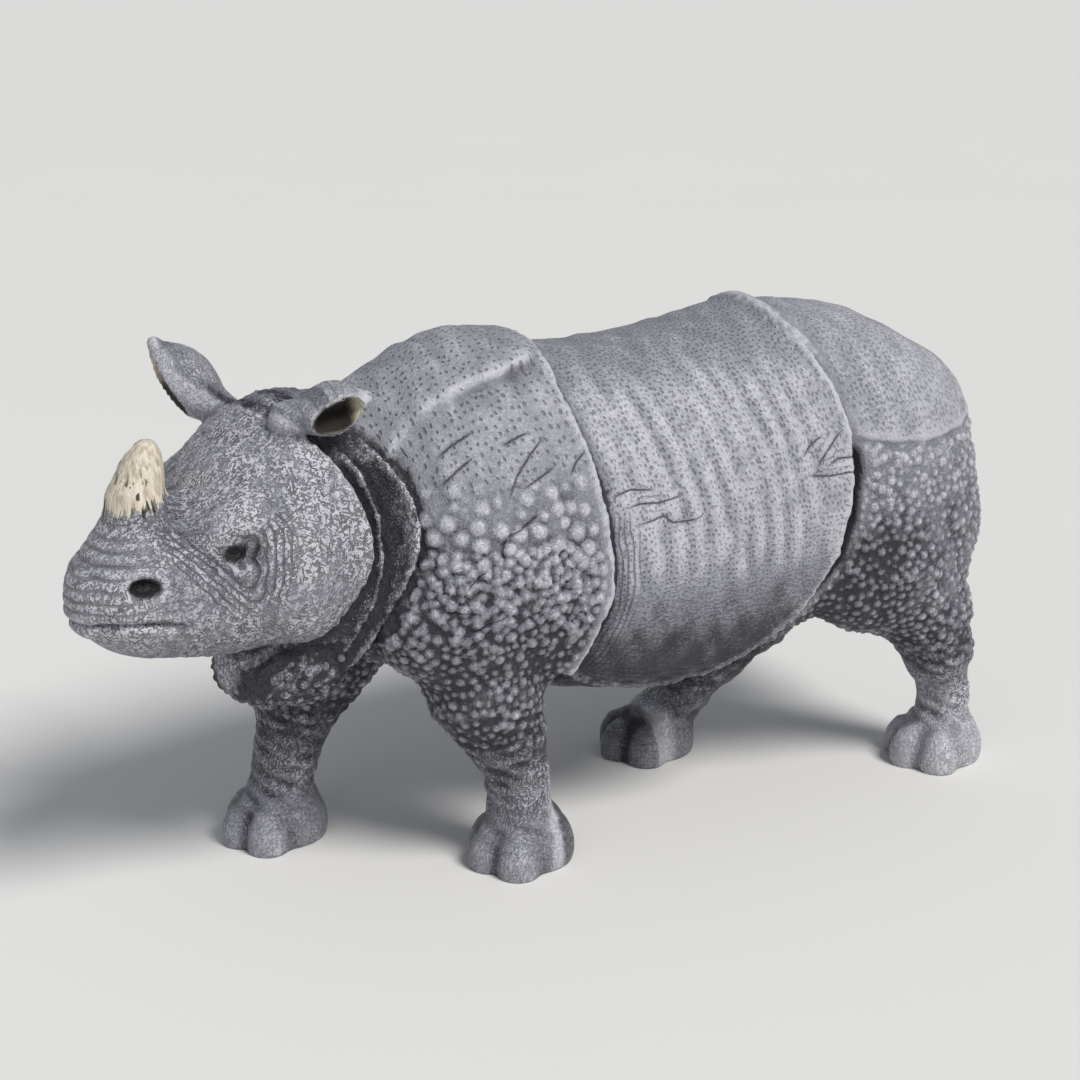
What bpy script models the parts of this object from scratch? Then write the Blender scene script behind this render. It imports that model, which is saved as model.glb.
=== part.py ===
"""A walking one-horned rhinoceros figurine, moulded in one piece of painted vinyl.

The animal stands on +Z with its head towards -X, so its left side faces -Y. The origin lies on
the ground, under the middle of its bounding box. The shape is a distance field, built from lofts,
limbs and ellipsoids, that is meshed on a grid. Its proportions are in parts, 200 of which make the
length of the figure.
"""

import math

import bmesh
import bpy
import numpy as np
from mathutils import Matrix

# Driving dimensions, in metres
FIGURE_LENGTH = 0.175
HORN_HEIGHT = 0.0149
HORN_RADIUS = 0.0048
EAR_LENGTH = 0.0155
EAR_RADIUS = 0.0049
EAR_WALL = 0.0015
FOOT_RADIUS = 0.0081
TOE_RADIUS = 0.0043
TAIL_LENGTH = 0.0320
TAIL_RADIUS = 0.0019
FOLD_LIP = 0.0013
FOLD_GROOVE = 0.0016
COLLAR_FLARE = 0.0048
GRID_STEP = 0.0009
TRIANGLES = 9700

# The head's turn to the animal's left, in degrees
HEAD_TURN = 14.0

# Painted vinyl
HIDE_COLOUR = (0.165, 0.165, 0.19, 1.0)
HIDE_ROUGHNESS = 0.62

PART = FIGURE_LENGTH / 200.0


def parts(metres):
    """A real size in the parts that the proportions use."""
    return metres / PART


# Curves and distances


def flow(t, knots, values):
    """A smooth curve through the knots, level beyond its ends."""
    knots, values = np.asarray(knots, float), np.asarray(values, float)
    slopes = np.gradient(values, knots)
    t = np.clip(t, knots[0], knots[-1])
    i = np.clip(np.searchsorted(knots, t) - 1, 0, len(knots) - 2)
    span = knots[i + 1] - knots[i]
    s = (t - knots[i]) / span
    rise = values[i + 1] - values[i]
    start, end = slopes[i] * span, slopes[i + 1] * span
    return values[i] + s * (start + s * (3 * rise - 2 * start - end + s * (start + end - 2 * rise)))


def step(t, low, high):
    """0 below low, 1 above high, smooth between them."""
    s = np.clip((t - low) / (high - low), 0.0, 1.0)
    return s * s * (3.0 - 2.0 * s)


def window(t, low, high, fade):
    """1 between low and high, fading out beyond them."""
    return step(t, low - fade, low) * (1.0 - step(t, high, high + fade))


def join(a, b, k):
    """The union of two distances, with a fillet of about k."""
    h = np.maximum(k - np.abs(a - b), 0.0) / k
    return np.minimum(a, b) - h * h * k / 4.0


def cut(a, b, k):
    """a with b taken away, with a rounded edge of about k."""
    return -join(-a, b, k)


def turned(p, centre, yaw=0.0, pitch=0.0):
    """Points seen from a frame at centre that is pitched about Y and then turned about Z."""
    x, y, z = p[0] - centre[0], p[1] - centre[1], p[2] - centre[2]
    c, s = math.cos(math.radians(yaw)), math.sin(math.radians(yaw))
    x, y = c * x + s * y, c * y - s * x
    c, s = math.cos(math.radians(pitch)), math.sin(math.radians(pitch))
    x, z = c * x - s * z, c * z + s * x
    return np.array([x, y, z])


def ellipsoid(p, centre, radii, yaw=0.0, pitch=0.0):
    q = turned(p, centre, yaw, pitch)
    r = np.asarray(radii, float)[:, None]
    reach = np.sqrt(((q / r) ** 2).sum(axis=0)) + 1e-9
    slope = np.sqrt(((q / r**2) ** 2).sum(axis=0)) + 1e-9
    return reach * (reach - 1.0) / slope


def limb(p, knots, k=2.0):
    """A chain of tapering round stretches. A knot is (x, y, z, radius)."""
    whole = None
    for a, b in zip(knots, knots[1:]):
        a, b = np.array(a, float), np.array(b, float)
        along = b[:3] - a[:3]
        q = p - a[:3, None]
        t = np.clip((q * along[:, None]).sum(axis=0) / (along @ along), 0.0, 1.0)
        d = np.sqrt(((q - along[:, None] * t) ** 2).sum(axis=0)) - (a[3] + (b[3] - a[3]) * t)
        whole = d if whole is None else join(whole, d, k)
    return whole


def loft(p, stations, cap, power=2.0):
    """A body along X. A station is (x, top, widest height, bottom, half-width)."""
    x, top, belt, bottom, half = (list(column) for column in zip(*stations))
    t = np.clip(p[0], x[0], x[-1])
    belt_here, half_here = flow(t, x, belt), flow(t, x, half)
    z = p[2] - belt_here
    rise = np.where(z > 0, flow(t, x, top) - belt_here, belt_here - flow(t, x, bottom))
    beyond = p[0] - t
    ring = (np.abs(p[1] / half_here) ** power + np.abs(z / rise) ** power) ** (1.0 / power)
    share = np.sqrt(ring**2 + (beyond / cap) ** 2) + 1e-9
    reach = np.sqrt(p[1] ** 2 + z**2 + beyond**2) + 1e-9
    return reach - reach / share


def mirrored(p):
    """The points with those of the left side moved over to the right, for what comes in pairs."""
    return np.array([p[0], np.abs(p[1]), p[2]])


# Skin folds


def past(x, z, heights, places):
    """How far a point lies in front of a fold that crosses the flank at x = places(z)."""
    slope = np.gradient(np.asarray(places, float), np.asarray(heights, float))
    lean = np.interp(z, heights, slope)
    return (flow(z, heights, places) - x) / np.sqrt(1.0 + lean**2)


def above(x, z, places, heights):
    """How far a point lies above a fold that runs along the flank at z = heights(x)."""
    slope = np.gradient(np.asarray(heights, float), np.asarray(places, float))
    lean = np.interp(x, places, slope)
    return (z - flow(x, places, heights)) / np.sqrt(1.0 + lean**2)


def fold(s, lip, groove, reach=5.0, sharp=0.35):
    """Height of the skin near a fold: a lip on its own side, where s is positive, and a groove past it."""
    side = 1.0 / (1.0 + np.exp(np.clip(-s / sharp, -40.0, 40.0)))
    raised = lip * np.exp(-np.maximum(s, 0.0) / reach)
    sunk = groove * np.exp(np.minimum(s, 0.0) / (0.7 * reach))
    return side * raised - (1.0 - side) * sunk


def ridge(s, height, width):
    return height * np.exp(-((s / width) ** 2))


SHOULDER_FOLD = ((33, 41, 48, 57, 68, 77, 87, 95, 104), (-8, -4, -1, 1.8, 1.5, 0.4, -1.5, -3.5, -3))
HIP_FOLD = ((32, 47, 55, 65, 75, 82, 90, 98, 105), (36, 48.4, 53.8, 56.9, 57.8, 56.9, 54.5, 51, 47))
BELLY_LIP = ((-8, -2, 7, 18, 28, 36, 42, 50), (42, 37, 33.5, 32.3, 34, 38, 42, 48))
RUMP_FOLD = ((57, 68, 82, 98), (80, 77.7, 77.6, 81))
SCAPULAR_RIDGE = ((-41, -35, -29, -18, -6), (82, 90.5, 95, 99, 101.5))


def trunk_relief(p):
    """Height of the folds on the trunk above its plain form."""
    x, _, z = p
    lip, groove = parts(FOLD_LIP), parts(FOLD_GROOVE)
    shoulder = past(x, z, *SHOULDER_FOLD)
    relief = fold(shoulder, lip, groove, 4.5) * window(z, 37, 114, 4) * step(x, -46, -40)
    hip = past(x, z, *HIP_FOLD)
    relief += fold(hip, lip, 1.4 * groove, 5.0) * window(z, 38, 90, 10)
    relief += ridge(hip + 0.5, 0.9 * lip, 2.0) * window(z, 84, 116, 8)
    relief -= ridge(hip + 1.6, 1.5 * groove, 1.4) * window(z, 45, 74, 6)
    belly = above(x, z, *BELLY_LIP)
    relief += fold(belly, lip, 1.3 * groove, 4.0) * window(x, -4, 44, 5)
    rump = above(x, z, *RUMP_FOLD)
    relief += fold(rump, 0.25 * lip, 0.45 * groove, 4.0) * window(x, 62, 110, 5)
    scapular = above(x, z, *SCAPULAR_RIDGE)
    rise = ridge(scapular, 0.8 * lip, 1.8) - ridge(scapular + 3.0, 0.5 * groove, 1.8)
    return relief + rise * window(x, -38, -8, 4)


# The neck, with its collars of loose skin

CHEEK_RIM = ((48, 52, 55, 61, 68, 76, 84, 92, 100), (-69, -62.5, -56.5, -49.5, -46, -46.8, -50.8, -58, -68))
COLLAR_RIMS = (
    ((38, 43, 51, 58.5, 68, 76, 83, 91, 98), (-57, -53, -49, -45, -42.6, -43, -45.8, -51.8, -58)),
    ((38, 47, 56, 63.5, 70, 76, 83, 88, 95), (-53, -46.5, -42, -38.3, -35.8, -35.6, -38.1, -42, -49)),
)


def neck(p):
    stations = (
        (-66, 93, 72, 52, 13.5),
        (-60, 96.6, 71, 48, 14.8),
        (-54, 97.2, 70, 46, 15.8),
        (-47, 96, 69, 45, 16.4),
        (-41, 95.5, 68, 44, 17.4),
        (-34, 98, 66, 42, 20.0),
        (-26, 102, 63, 38, 24.0),
    )
    return loft(p, stations, 6.0, 2.2)


def collar(p, rim, flare, reach):
    """A ring of neck skin that flares out to its rim, where it ends."""
    s = past(p[0], p[2], *rim)
    spread = flare * np.exp(-np.maximum(s, 0.0) / reach) * window(p[2], 40, 86, 5)
    return cut(neck(p) - spread, s, 2.2)


def bib(p):
    """The flap of skin that hangs under the throat."""
    d = ellipsoid(p, (-57.5, 0, 48.5), (12.5, 11.5, 9.5), pitch=-22)
    return join(d, ellipsoid(p, (-52, 0, 46), (8, 13, 8)), 4.0)


# The head

EYE = (-74.5, 12.5, 74.3)
NOSTRIL = (-90.6, 11.4, 70.7)
MOUTH = ((-100, -94, -88, -80), (63.5, 64.3, 63.6, 61.2))
HORN_BASE = 76.5


def skull(p):
    stations = (
        (-96.5, 73.0, 67, 60.5, 5.4),
        (-93.5, 77.0, 66.5, 57.8, 8.2),
        (-89, 81.0, 66, 55.5, 10.2),
        (-83, 82.0, 67, 54.0, 11.8),
        (-78, 83.5, 68, 52.8, 13.0),
        (-72, 89.0, 69, 52.0, 15.0),
        (-66, 93.5, 70, 52.0, 17.3),
        (-60, 97.2, 71, 52.5, 19.2),
        (-53, 98.0, 72, 54.0, 21.0),
        (-44, 96.5, 72, 56.0, 22.6),
    )
    d = loft(p, stations, 3.0, 2.3)
    m = mirrored(p)
    d = join(d, ellipsoid(m, (-58, 12.0, 69), (13, 8.8, 15), pitch=-12), 4.0)
    d = join(d, ellipsoid(m, (-72.5, 11.5, 80), (6, 4.5, 3.6), pitch=-30), 4.0)
    return join(d, ellipsoid(m, (-91.0, 5.8, 68), (5.6, 4.8, 5.5)), 3.0)


def features(p, d):
    """Cuts the eye sockets and nostrils into the head and sets the eyes."""
    m = mirrored(p)
    x, y, z = EYE
    d = cut(d, ellipsoid(m, (x, y + 4.1, z + 0.1), (4.2, 3.0, 3.6)), 2.4)
    d = join(d, ellipsoid(m, EYE, (2.3, 2.1, 1.8)), 0.5)
    return cut(d, ellipsoid(m, NOSTRIL, (3.1, 3.6, 1.9), pitch=8), 0.8)


def head_relief(p):
    """Depth of the line between the lips."""
    mouth = above(p[0], p[2], *MOUTH)
    return -ridge(mouth, 0.7 * parts(FOLD_GROOVE), 0.9) * window(p[0], -110, -85, 3)


def horn(p):
    height, radius = parts(HORN_HEIGHT), parts(HORN_RADIUS)
    knots = (
        (-85.6, 0, HORN_BASE, 1.05 * radius),
        (-85.4, 0, HORN_BASE + 0.38 * height, 0.86 * radius),
        (-83.8, 0, HORN_BASE + 0.70 * height, 0.57 * radius),
        (-82.6, 0, HORN_BASE + height - 0.37 * radius, 0.37 * radius),
    )
    return limb(p, knots, 3.0)


LEFT_EAR = ((-59.0, -12.0, 95.5), (-44.5, -19.5, 98.2), (0.25, -0.95, -0.15), 0.80)
RIGHT_EAR = ((-60.5, 13.0, 92.5), (-69.0, 22.0, 106.0), (-0.9, 0.42, -0.05), 1.0)


def ear(p, root, tip, mouth, spread):
    """A cupped leaf from root to tip, open towards mouth. Spread is its width's share of the full one."""
    length, radius, wall = parts(EAR_LENGTH), parts(EAR_RADIUS), parts(EAR_WALL)
    up = np.array(tip, float) - root
    up /= np.linalg.norm(up)
    front = np.array(mouth, float)
    front -= up * (front @ up)
    front /= np.linalg.norm(front)
    side = np.cross(up, front) / spread
    q = np.array([front, side, up]) @ (p - np.array(root, float)[:, None])
    blade = ellipsoid(q, (0, 0, 0.42 * length), (radius, radius, 0.42 * length))
    point = limb(q, ((0, 0, 0.42 * length, 0.80 * radius), (-0.1 * radius, 0, length - wall, 0.8 * wall)))
    stalk = limb(q, ((-0.2 * radius, 0, -0.1 * length, 0.6 * radius), (0, 0, 0.2 * length, 0.65 * radius)))
    cup = ellipsoid(q, (0.95 * radius, 0, 0.50 * length), (1.3 * radius, radius - wall, 0.36 * length))
    return cut(join(join(blade, point, 1.5), stalk, 2.0), cup, 0.5)


# The legs

FRONT_LEFT = (
    (-22, -15, 50, 12),
    (-19.5, -16, 38, 10.6),
    (-15.8, -16.6, 28, 7.6),
    (-12.9, -17, 19, 5.7),
    (-12.2, -17, 8, 6.8),
)
FRONT_RIGHT = (
    (-30, 15, 50, 12),
    (-40.5, 15.5, 37, 10),
    (-45.5, 16, 28, 8.0),
    (-48.2, 16, 18.5, 6.0),
    (-50.5, 16, 8, 6.6),
)
REAR_LEFT = (
    (75, -15, 50, 14),
    (86.5, -16, 36, 9.4),
    (90.5, -16.2, 26, 7.0),
    (93.4, -16.2, 15.5, 4.9),
    (93.2, -16, 8, 6.0),
)
REAR_RIGHT = (
    (69, 15, 48, 14),
    (69, 15.5, 36, 10.5),
    (65, 16, 28, 7.6),
    (54.7, 16.5, 19.5, 5.9),
    (46.5, 17, 12.5, 5.4),
    (40.5, 17, 8, 6.0),
)
FEET = ((-11.8, -17.0), (-51.2, 16.0), (92.2, -16.0), (37.6, 17.0))


def foot(p, place):
    """A round pad with three blunt toes at its front."""
    radius, toe = parts(FOOT_RADIUS), parts(TOE_RADIUS)
    x, y = place
    d = ellipsoid(p, (x + 1.4, y, 2.5), (radius, 0.94 * radius, 0.95 * radius))
    for angle in (-56.0, 0.0, 56.0):
        a = math.radians(angle)
        out = 0.70 * radius
        at = (x - out * math.cos(a), y + out * math.sin(a), 1.8)
        d = join(d, ellipsoid(p, at, (toe, 0.92 * toe, 1.35 * toe), yaw=-angle), 1.0)
    return d


def legs(p):
    d = None
    for knots, place in zip((FRONT_LEFT, FRONT_RIGHT, REAR_LEFT, REAR_RIGHT), FEET):
        one = join(limb(p, knots, 3.0), foot(p, place), 3.0)
        d = one if d is None else np.minimum(d, one)
    return d


# The trunk


def trunk(p):
    stations = (
        (-36, 96.5, 65, 42, 19.5),
        (-28, 101.0, 63, 37, 23.5),
        (-19, 104.2, 61, 34, 25.5),
        (-10, 103.4, 60, 32.5, 27.0),
        (0, 100.2, 58.5, 30, 28.0),
        (13, 99.5, 56.5, 27.5, 29.5),
        (30, 101.0, 56.5, 27.5, 30.0),
        (46, 103.8, 59.5, 31, 28.5),
        (60, 102.8, 63, 37, 27.5),
        (75, 99.3, 65.5, 42, 25.0),
        (86, 91.5, 66.5, 49, 20.0),
    )
    d = loft(p, stations, 9.0, 2.25)
    m = mirrored(p)
    d = join(d, ellipsoid(m, (-17, 15.5, 64), (19.5, 13, 27)), 5.0)
    d = join(d, ellipsoid(m, (-23.5, 16, 53.5), (18.5, 11.5, 14.5), pitch=8), 3.0)
    d = join(d, ellipsoid(m, (76, 13, 71), (19.5, 14, 23.5)), 8.0)
    d = join(d, ellipsoid(m, (77, 15.5, 56), (21, 12.5, 24)), 3.0)
    return join(d, ellipsoid(m, (68, 17, 49), (15, 10, 13.5), pitch=18), 3.0)


def tail(p):
    length, radius = parts(TAIL_LENGTH), parts(TAIL_RADIUS)
    root = 86.0
    knots = (
        (88.5, 0, root, 1.5 * radius),
        (95.5, 0, root - 0.35 * length, 1.2 * radius),
        (97.5, 0, root - 0.75 * length, radius),
        (97.0, 0, root - length, 1.3 * radius),
    )
    return limb(p, knots, 2.0)


def unturned(p):
    """The same points with the head turned back to straight ahead."""
    hinge = -38.0
    angle = np.radians(HEAD_TURN) * step(-p[0], 36.0, 58.0)
    c, s = np.cos(angle), np.sin(angle)
    x, y = p[0] - hinge, p[1]
    return np.array([hinge + c * x + s * y, c * y - s * x, p[2]])


def figure(p):
    """Distance from the figure's surface, negative inside it, in parts."""
    flare = parts(COLLAR_FLARE)
    h = unturned(p)
    face = cut(skull(h) - head_relief(h), past(h[0], h[2], *CHEEK_RIM), 2.2)
    face = features(h, join(face, horn(h), 3.0))
    d = join(trunk(p) - trunk_relief(p), neck(h), 2.0)
    d = join(d, collar(h, COLLAR_RIMS[0], 0.85 * flare, 3.2), 1.2)
    d = join(d, collar(h, COLLAR_RIMS[1], flare, 4.6), 1.2)
    d = join(d, bib(h), 1.0)
    d = join(d, face, 1.2)
    d = join(d, np.minimum(ear(h, *LEFT_EAR), ear(h, *RIGHT_EAR)), 1.5)
    d = join(d, legs(p), 2.5)
    return join(d, tail(p), 1.0)


# Meshing

REGION = ((-108.0, -40.0, -4.0), (106.0, 40.0, 114.0))
BLOCK = 4


def sampled(field, low, counts, size):
    """The field on a grid. Far from the surface it is read on every fourth point only."""
    coarse = [n // BLOCK + 2 for n in counts]
    axes = [low[i] + size * BLOCK * np.arange(coarse[i]) for i in range(3)]
    points = np.stack(np.meshgrid(*axes, indexing="ij")).reshape(3, -1)
    rough = field(points).reshape(coarse)
    near = np.abs(rough) < 2.2 * BLOCK * size
    values = np.repeat(np.repeat(np.repeat(rough, BLOCK, 0), BLOCK, 1), BLOCK, 2)
    wanted = np.repeat(np.repeat(np.repeat(near, BLOCK, 0), BLOCK, 1), BLOCK, 2)
    values = values[: counts[0], : counts[1], : counts[2]].copy()
    where = np.nonzero(wanted[: counts[0], : counts[1], : counts[2]])
    points = np.array([low[i] + size * where[i] for i in range(3)])
    values[where] = field(points)
    return values


def settle(values):
    """Fills corners where two inside samples only touch across a diagonal, which would pinch the mesh."""
    tiny = -1e-3
    for _ in range(20):
        inside = values < 0
        fill = np.zeros_like(inside)
        for a, b in ((0, 1), (0, 2), (1, 2)):
            s = [slice(None)] * 3

            def at(i, j):
                t = list(s)
                t[a] = slice(i, -1 if i == 0 else None)
                t[b] = slice(j, -1 if j == 0 else None)
                return tuple(t)

            one = inside[at(0, 0)] & inside[at(1, 1)] & ~inside[at(0, 1)] & ~inside[at(1, 0)]
            two = ~inside[at(0, 0)] & ~inside[at(1, 1)] & inside[at(0, 1)] & inside[at(1, 0)]
            fill[at(0, 1)] |= one
            fill[at(0, 0)] |= two
        if not fill.any():
            break
        values[fill] = tiny
    return values


def surface(values, low, size):
    """A closed net of quads through the cells that the surface crosses."""
    cells = tuple(n - 1 for n in values.shape)
    inside = values < 0
    total = np.zeros(cells + (3,))
    count = np.zeros(cells, np.int32)
    quads = []
    index = np.arange(np.prod(cells)).reshape(cells)
    for axis in range(3):
        others = [i for i in range(3) if i != axis]
        first = [slice(None)] * 3
        second = [slice(None)] * 3
        first[axis], second[axis] = slice(0, -1), slice(1, None)
        a, b = values[tuple(first)], values[tuple(second)]
        crossed = inside[tuple(first)] != inside[tuple(second)]
        share = np.where(crossed, a / np.where(crossed, a - b, 1.0), 0.0)
        for i in (0, 1):
            for j in (0, 1):
                pick = [slice(None)] * 3
                pick[others[0]] = slice(i, values.shape[others[0]] - 1 + i)
                pick[others[1]] = slice(j, values.shape[others[1]] - 1 + j)
                hit = crossed[tuple(pick)]
                total[..., axis] += np.where(hit, share[tuple(pick)], 0.0)
                total[..., others[0]] += hit * float(i)
                total[..., others[1]] += hit * float(j)
                count += hit
        core = [slice(None)] * 3
        core[others[0]] = core[others[1]] = slice(1, -1)
        edges = np.array(np.nonzero(crossed[tuple(core)]))
        edges[others[0]] += 1
        edges[others[1]] += 1
        corners = []
        for i, j in ((1, 1), (0, 1), (0, 0), (1, 0)):
            at = edges.copy()
            at[others[0]] -= i
            at[others[1]] -= j
            corners.append(index[tuple(at)])
        quad = np.stack(corners, axis=1)
        outward = inside[tuple(edges)] == (axis != 1)
        quad[~outward] = quad[~outward][:, ::-1]
        quads.append(quad)
    quads = np.concatenate(quads)
    used, faces = np.unique(quads, return_inverse=True)
    cell = np.array(np.unravel_index(used, cells))
    inner = total.reshape(-1, 3)[used] / count.reshape(-1)[used][:, None]
    return np.asarray(low) + size * (cell.T + inner), faces.reshape(-1, 4)


def mesh_of(points, faces, name):
    mesh = bpy.data.meshes.new(name)
    mesh.from_pydata(points.tolist(), [], faces.tolist())
    mesh.update()
    return mesh


def thinned(mesh, triangles):
    """The mesh with its triangles collapsed to about that number."""
    helper = bpy.data.objects.new("thinning", mesh)
    bpy.context.scene.collection.objects.link(helper)
    split = helper.modifiers.new("split", "TRIANGULATE")
    split.quad_method = "SHORTEST_DIAGONAL"
    collapse = helper.modifiers.new("collapse", "DECIMATE")
    collapse.ratio = min(1.0, triangles / (2.0 * len(mesh.polygons)))
    graph = bpy.context.evaluated_depsgraph_get()
    result = bpy.data.meshes.new_from_object(helper.evaluated_get(graph))
    bpy.data.objects.remove(helper)
    return result


def cut_soles(mesh):
    """Cuts the feet off flat at the ground."""
    shape = bmesh.new()
    shape.from_mesh(mesh)
    everything = shape.verts[:] + shape.edges[:] + shape.faces[:]
    sliced = bmesh.ops.bisect_plane(
        shape, geom=everything, dist=1e-6, plane_co=(0, 0, 0), plane_no=(0, 0, -1), clear_outer=True
    )
    rim = [e for e in sliced["geom_cut"] if isinstance(e, bmesh.types.BMEdge)]
    bmesh.ops.holes_fill(shape, edges=rim, sides=0)
    bmesh.ops.triangulate(shape, faces=[f for f in shape.faces if len(f.verts) > 3])
    bmesh.ops.recalc_face_normals(shape, faces=shape.faces[:])
    shape.to_mesh(mesh)
    shape.free()


def centred(mesh):
    """Moves the mesh so that the origin is under the middle of its box."""
    corners = np.array([v.co for v in mesh.vertices])
    middle = (corners.min(axis=0) + corners.max(axis=0)) / 2.0
    mesh.transform(Matrix.Translation((-middle[0], -middle[1], 0.0)))


def vinyl(name, colour, roughness):
    material = bpy.data.materials.new(name)
    material.use_nodes = True
    shader = material.node_tree.nodes["Principled BSDF"]
    shader.inputs["Base Color"].default_value = colour
    shader.inputs["Roughness"].default_value = roughness
    shader.inputs["Metallic"].default_value = 0.0
    return material


def build():
    for obj in list(bpy.data.objects):
        bpy.data.objects.remove(obj)
    size = parts(GRID_STEP)
    low, high = REGION
    counts = [int((high[i] - low[i]) / size) + 2 for i in range(3)]
    values = settle(sampled(figure, low, counts, size))
    points, faces = surface(values, low, size)
    mesh = thinned(mesh_of(points * PART, faces, "rhinoceros"), TRIANGLES)
    cut_soles(mesh)
    centred(mesh)
    mesh.materials.append(vinyl("painted_vinyl", HIDE_COLOUR, HIDE_ROUGHNESS))
    mesh.shade_smooth()
    body = bpy.data.objects.new("rhinoceros", mesh)
    bpy.context.scene.collection.objects.link(body)
    return body


build()
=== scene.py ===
"""The looks of a walking one-horned rhinoceros figurine, moulded in one piece of vinyl and painted.

The animal stands on +Z with its head towards -X, so its left side faces -Y. Its form is a distance
field in parts, 200 of which make the length of the figure. It is meshed finely, carved, given its
tubercles by a Geometry Nodes tree, thinned and fitted to the frame's box.
"""

import math

import bmesh
import bpy
import numpy as np
from bpy.props import FloatProperty, FloatVectorProperty, IntProperty, PointerProperty
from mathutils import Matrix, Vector


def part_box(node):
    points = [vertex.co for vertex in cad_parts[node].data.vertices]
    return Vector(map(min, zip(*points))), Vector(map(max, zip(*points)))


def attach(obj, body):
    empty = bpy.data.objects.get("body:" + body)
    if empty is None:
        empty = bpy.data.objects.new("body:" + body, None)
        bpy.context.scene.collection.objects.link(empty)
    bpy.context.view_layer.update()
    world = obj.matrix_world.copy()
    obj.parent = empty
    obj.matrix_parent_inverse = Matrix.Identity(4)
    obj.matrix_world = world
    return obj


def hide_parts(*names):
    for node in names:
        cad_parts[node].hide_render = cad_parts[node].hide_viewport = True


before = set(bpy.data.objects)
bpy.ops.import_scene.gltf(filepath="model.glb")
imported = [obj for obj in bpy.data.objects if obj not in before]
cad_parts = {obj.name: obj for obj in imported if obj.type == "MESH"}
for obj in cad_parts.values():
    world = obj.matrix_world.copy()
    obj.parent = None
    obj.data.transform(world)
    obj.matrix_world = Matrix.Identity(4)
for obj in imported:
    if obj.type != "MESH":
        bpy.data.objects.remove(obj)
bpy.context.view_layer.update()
NODE = "rhinoceros"
LOW, HIGH = (np.array(corner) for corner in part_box(NODE))

bl_info = {
    "name": "Rhinoceros Figurine",
    "version": (1, 0, 0),
    "blender": (4, 5, 0),
    "location": "3D View > Sidebar > Figurine",
    "description": "Models and paints a vinyl one-horned rhinoceros and sets its studio",
    "category": "Object",
}

PARTS = 200.0


# Curves and distances


def flow(t, knots, values):
    """A smooth curve through the knots, level beyond its ends."""
    knots, values = np.asarray(knots, float), np.asarray(values, float)
    slopes = np.gradient(values, knots)
    t = np.clip(t, knots[0], knots[-1])
    i = np.clip(np.searchsorted(knots, t) - 1, 0, len(knots) - 2)
    span = knots[i + 1] - knots[i]
    s = (t - knots[i]) / span
    rise = values[i + 1] - values[i]
    start, end = slopes[i] * span, slopes[i + 1] * span
    return values[i] + s * (start + s * (3 * rise - 2 * start - end + s * (start + end - 2 * rise)))


def step(t, low, high):
    """0 below low, 1 above high, smooth between them."""
    s = np.clip((t - low) / (high - low), 0.0, 1.0)
    return s * s * (3.0 - 2.0 * s)


def window(t, low, high, fade):
    """1 between low and high, fading out beyond them."""
    return step(t, low - fade, low) * (1.0 - step(t, high, high + fade))


def join(a, b, k):
    """The union of two distances, with a fillet of about k."""
    h = np.maximum(k - np.abs(a - b), 0.0) / k
    return np.minimum(a, b) - h * h * k / 4.0


def cut(a, b, k):
    """a with b taken away, with a rounded edge of about k."""
    return -join(-a, b, k)


def turned(p, centre, yaw=0.0, pitch=0.0):
    """Points seen from a frame at centre that is pitched about Y and then turned about Z."""
    x, y, z = p[0] - centre[0], p[1] - centre[1], p[2] - centre[2]
    c, s = math.cos(math.radians(yaw)), math.sin(math.radians(yaw))
    x, y = c * x + s * y, c * y - s * x
    c, s = math.cos(math.radians(pitch)), math.sin(math.radians(pitch))
    x, z = c * x - s * z, c * z + s * x
    return np.array([x, y, z])


def ellipsoid(p, centre, radii, yaw=0.0, pitch=0.0):
    q = turned(p, centre, yaw, pitch)
    r = np.asarray(radii, float)[:, None]
    reach = np.sqrt(((q / r) ** 2).sum(axis=0)) + 1e-9
    slope = np.sqrt(((q / r**2) ** 2).sum(axis=0)) + 1e-9
    return reach * (reach - 1.0) / slope


def limb(p, knots, k=2.0):
    """A chain of tapering round stretches. A knot is (x, y, z, radius)."""
    whole = None
    for a, b in zip(knots, knots[1:]):
        a, b = np.array(a, float), np.array(b, float)
        along = b[:3] - a[:3]
        q = p - a[:3, None]
        t = np.clip((q * along[:, None]).sum(axis=0) / (along @ along), 0.0, 1.0)
        d = np.sqrt(((q - along[:, None] * t) ** 2).sum(axis=0)) - (a[3] + (b[3] - a[3]) * t)
        whole = d if whole is None else join(whole, d, k)
    return whole


def loft(p, stations, cap, power=2.0):
    """A body along X. A station is (x, top, widest height, bottom, half-width)."""
    x, top, belt, bottom, half = (list(column) for column in zip(*stations))
    t = np.clip(p[0], x[0], x[-1])
    belt_here, half_here = flow(t, x, belt), flow(t, x, half)
    z = p[2] - belt_here
    rise = np.where(z > 0, flow(t, x, top) - belt_here, belt_here - flow(t, x, bottom))
    beyond = p[0] - t
    ring = (np.abs(p[1] / half_here) ** power + np.abs(z / rise) ** power) ** (1.0 / power)
    share = np.sqrt(ring**2 + (beyond / cap) ** 2) + 1e-9
    reach = np.sqrt(p[1] ** 2 + z**2 + beyond**2) + 1e-9
    return reach - reach / share


def mirrored(p):
    return np.array([p[0], np.abs(p[1]), p[2]])


def bulged(d, p, bulges):
    """A form with ellipsoids joined on. A bulge is (centre, radii, pitch, fillet)."""
    for centre, radii, pitch, fillet in bulges:
        d = join(d, ellipsoid(p, centre, radii, pitch=pitch), fillet)
    return d


# Skin folds


def past(x, z, heights, places):
    """How far a point lies in front of a fold that crosses the flank at x = places(z)."""
    slope = np.gradient(np.asarray(places, float), np.asarray(heights, float))
    lean = np.interp(z, heights, slope)
    return (flow(z, heights, places) - x) / np.sqrt(1.0 + lean**2)


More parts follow.
